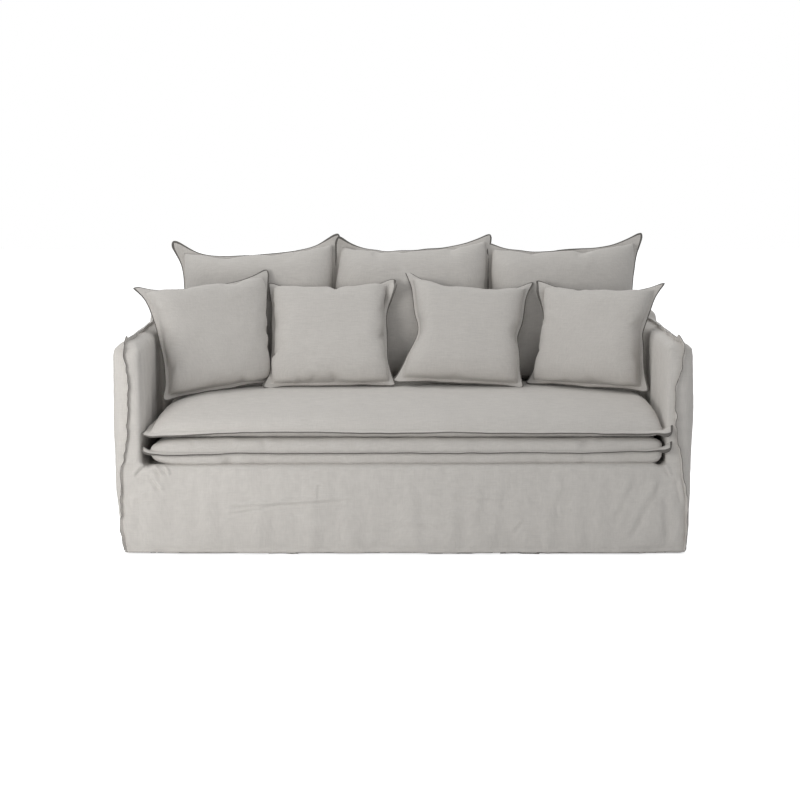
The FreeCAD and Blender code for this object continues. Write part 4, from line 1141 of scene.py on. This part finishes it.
def under_cover(co, gap):
    """The points, with those that come too near the outside of the cover moved back in under it."""
    out = co.copy()
    for k, p in enumerate(co):
        place, normal, _, _ = cover_skin.find_nearest(Vector(p), 0.02)
        if place is not None:
            depth = (Vector(p) - place).dot(normal)
            if depth > -gap:
                out[k] = p - (depth + gap) * np.array(normal[:])
    return out


def foam_wrap(node, voxel, seed):
    """Foam wrapped round the frame: its solid with rounded edges, a little uneven, just inside it."""
    ob = mesh_object(node + "_wrap", node_points(node), corners_of(frame["nodes"][node]))
    add_modifier(ob, "REMESH", mode="VOXEL", voxel_size=voxel)
    add_modifier(ob, "SMOOTH", factor=0.5, iterations=2)
    apply_modifiers(ob)
    p = get_co(ob)
    p += get_co(ob, "normal") * (0.0003 * fbm(p, 0.03, seed, 2) - 0.0006)[:, None]
    set_co(ob, under_cover(p, PAD_GAP))
    finish_pad(ob, node, foam)


def rim_axis(half, radius, cell):
    """Grid lines from -half to half, close together near both ends, where the edge is rounded."""
    ends = half - radius * np.array([1.0, 0.6, 0.3, 0.1, 0.0])
    inner = np.linspace(-ends[0], ends[0], max(int(2 * ends[0] / cell), 4))
    return np.concatenate([-ends[:0:-1], inner, ends[1:]])


def soft_panel(node, cell, seed, mat, gap=PAD_GAP):
    """A flat pad in the place of its solid, with rounded edges and a slightly uneven thickness."""
    p = node_points(node)
    lo, hi = p.min(0), p.max(0)
    thin = int(np.argmin(hi - lo))
    a, b = [k for k in range(3) if k != thin]
    half = (hi - lo) / 2 - 0.0004
    radius = half[thin]
    A, B = np.meshgrid(rim_axis(half[a], radius, cell), rim_axis(half[b], radius, cell), indexing="ij")
    inward = np.clip(np.minimum(half[a] - np.abs(A), half[b] - np.abs(B)) / radius, 0, 1)
    thick = radius * np.sqrt(1 - (1 - inward) ** 2)
    thick *= 0.95 + 0.05 * fbm(points(A.ravel(), B.ravel()), 0.07, seed, 2).reshape(A.shape)
    flat, ids, low_ids = two_sides(A, B, thick, -thick, inward > 0)
    verts = np.empty_like(flat)
    verts[:, [a, b, thin]] = flat
    faces = np.concatenate([grid_faces(ids), turned_over(grid_faces(low_ids))])
    ob = mesh_object(node + "_panel", under_cover(verts + (lo + hi) / 2, gap), faces.tolist())
    with editing(ob) as bm:
        bmesh.ops.recalc_face_normals(bm, faces=bm.faces)
    finish_pad(ob, node, mat)
    return ob


def foot_centres():
    centres = []
    bolts = node_points("foot_bolts")[:, :2]
    for p in bolts:
        if all(np.hypot(*(p - c)) > 0.05 for c in centres):
            centres.append(bolts[np.hypot(*(bolts - p).T) < 0.03].mean(0))
    return centres


def dust_sheet():
    """The felt under the frame, stapled to it, cut out round the feet and slack between the rails."""
    node, reach, rim = "dust_cover", 0.025, 0.009
    lo, hi = node_points(node).min(0), node_points(node).max(0)
    X, Y = np.meshgrid(np.linspace(lo[0], hi[0], 151), np.linspace(lo[1], hi[1], 73), indexing="ij")
    x, y = X.ravel(), Y.ravel()
    keep = np.ones(len(x), bool)
    for cx, cy in foot_centres():
        dist = np.hypot(x - cx, y - cy)
        near = np.abs(dist - reach) < rim
        x = np.where(near, cx + (x - cx) * reach / np.maximum(dist, 1e-9), x)
        y = np.where(near, cy + (y - cy) * reach / np.maximum(dist, 1e-9), y)
        keep &= dist > reach - rim
    slack = (1 - np.abs(x / hi[0]) ** 6) * (1 - np.abs((y - 0.01) / 0.43) ** 6)
    z = hi[2] - 0.0006 - 0.0022 * np.clip(slack, 0, 1) * (1 + 0.4 * fbm(points(x, y), 0.2, 8, 2))
    quads = grid_faces(np.arange(X.size).reshape(X.shape))
    quads = quads[keep[quads].all(1)]
    used = np.unique(quads)
    index = np.full(X.size, -1)
    index[used] = np.arange(len(used))
    ob = mesh_object("dust_sheet", points(x, y, z)[used], index[quads].tolist())
    add_modifier(ob, "SOLIDIFY", thickness=0.0008, offset=0.0)
    apply_modifiers(ob)
    finish_pad(ob, node, felt)


for node in both_sides("arm_foam"):
    foam_wrap(node, 0.006, 101)
foam_wrap("back_foam", 0.007, 103)
soft_panel("deck_foam", 0.022, 104, foam)
soft_panel("front_pad", 0.009, 105, foam, 0.0095)
soft_panel("spring_insulator", 0.018, 106, felt)
dust_sheet()

# Finishes of the frame
finishes = {node: mat for mat, nodes in NODE_FINISH.items() for node in nodes}
for node, ob in frame["nodes"].items():
    if not ob.hide_render:
        ob.data.materials.clear()
        ob.data.materials.append(finishes[node])
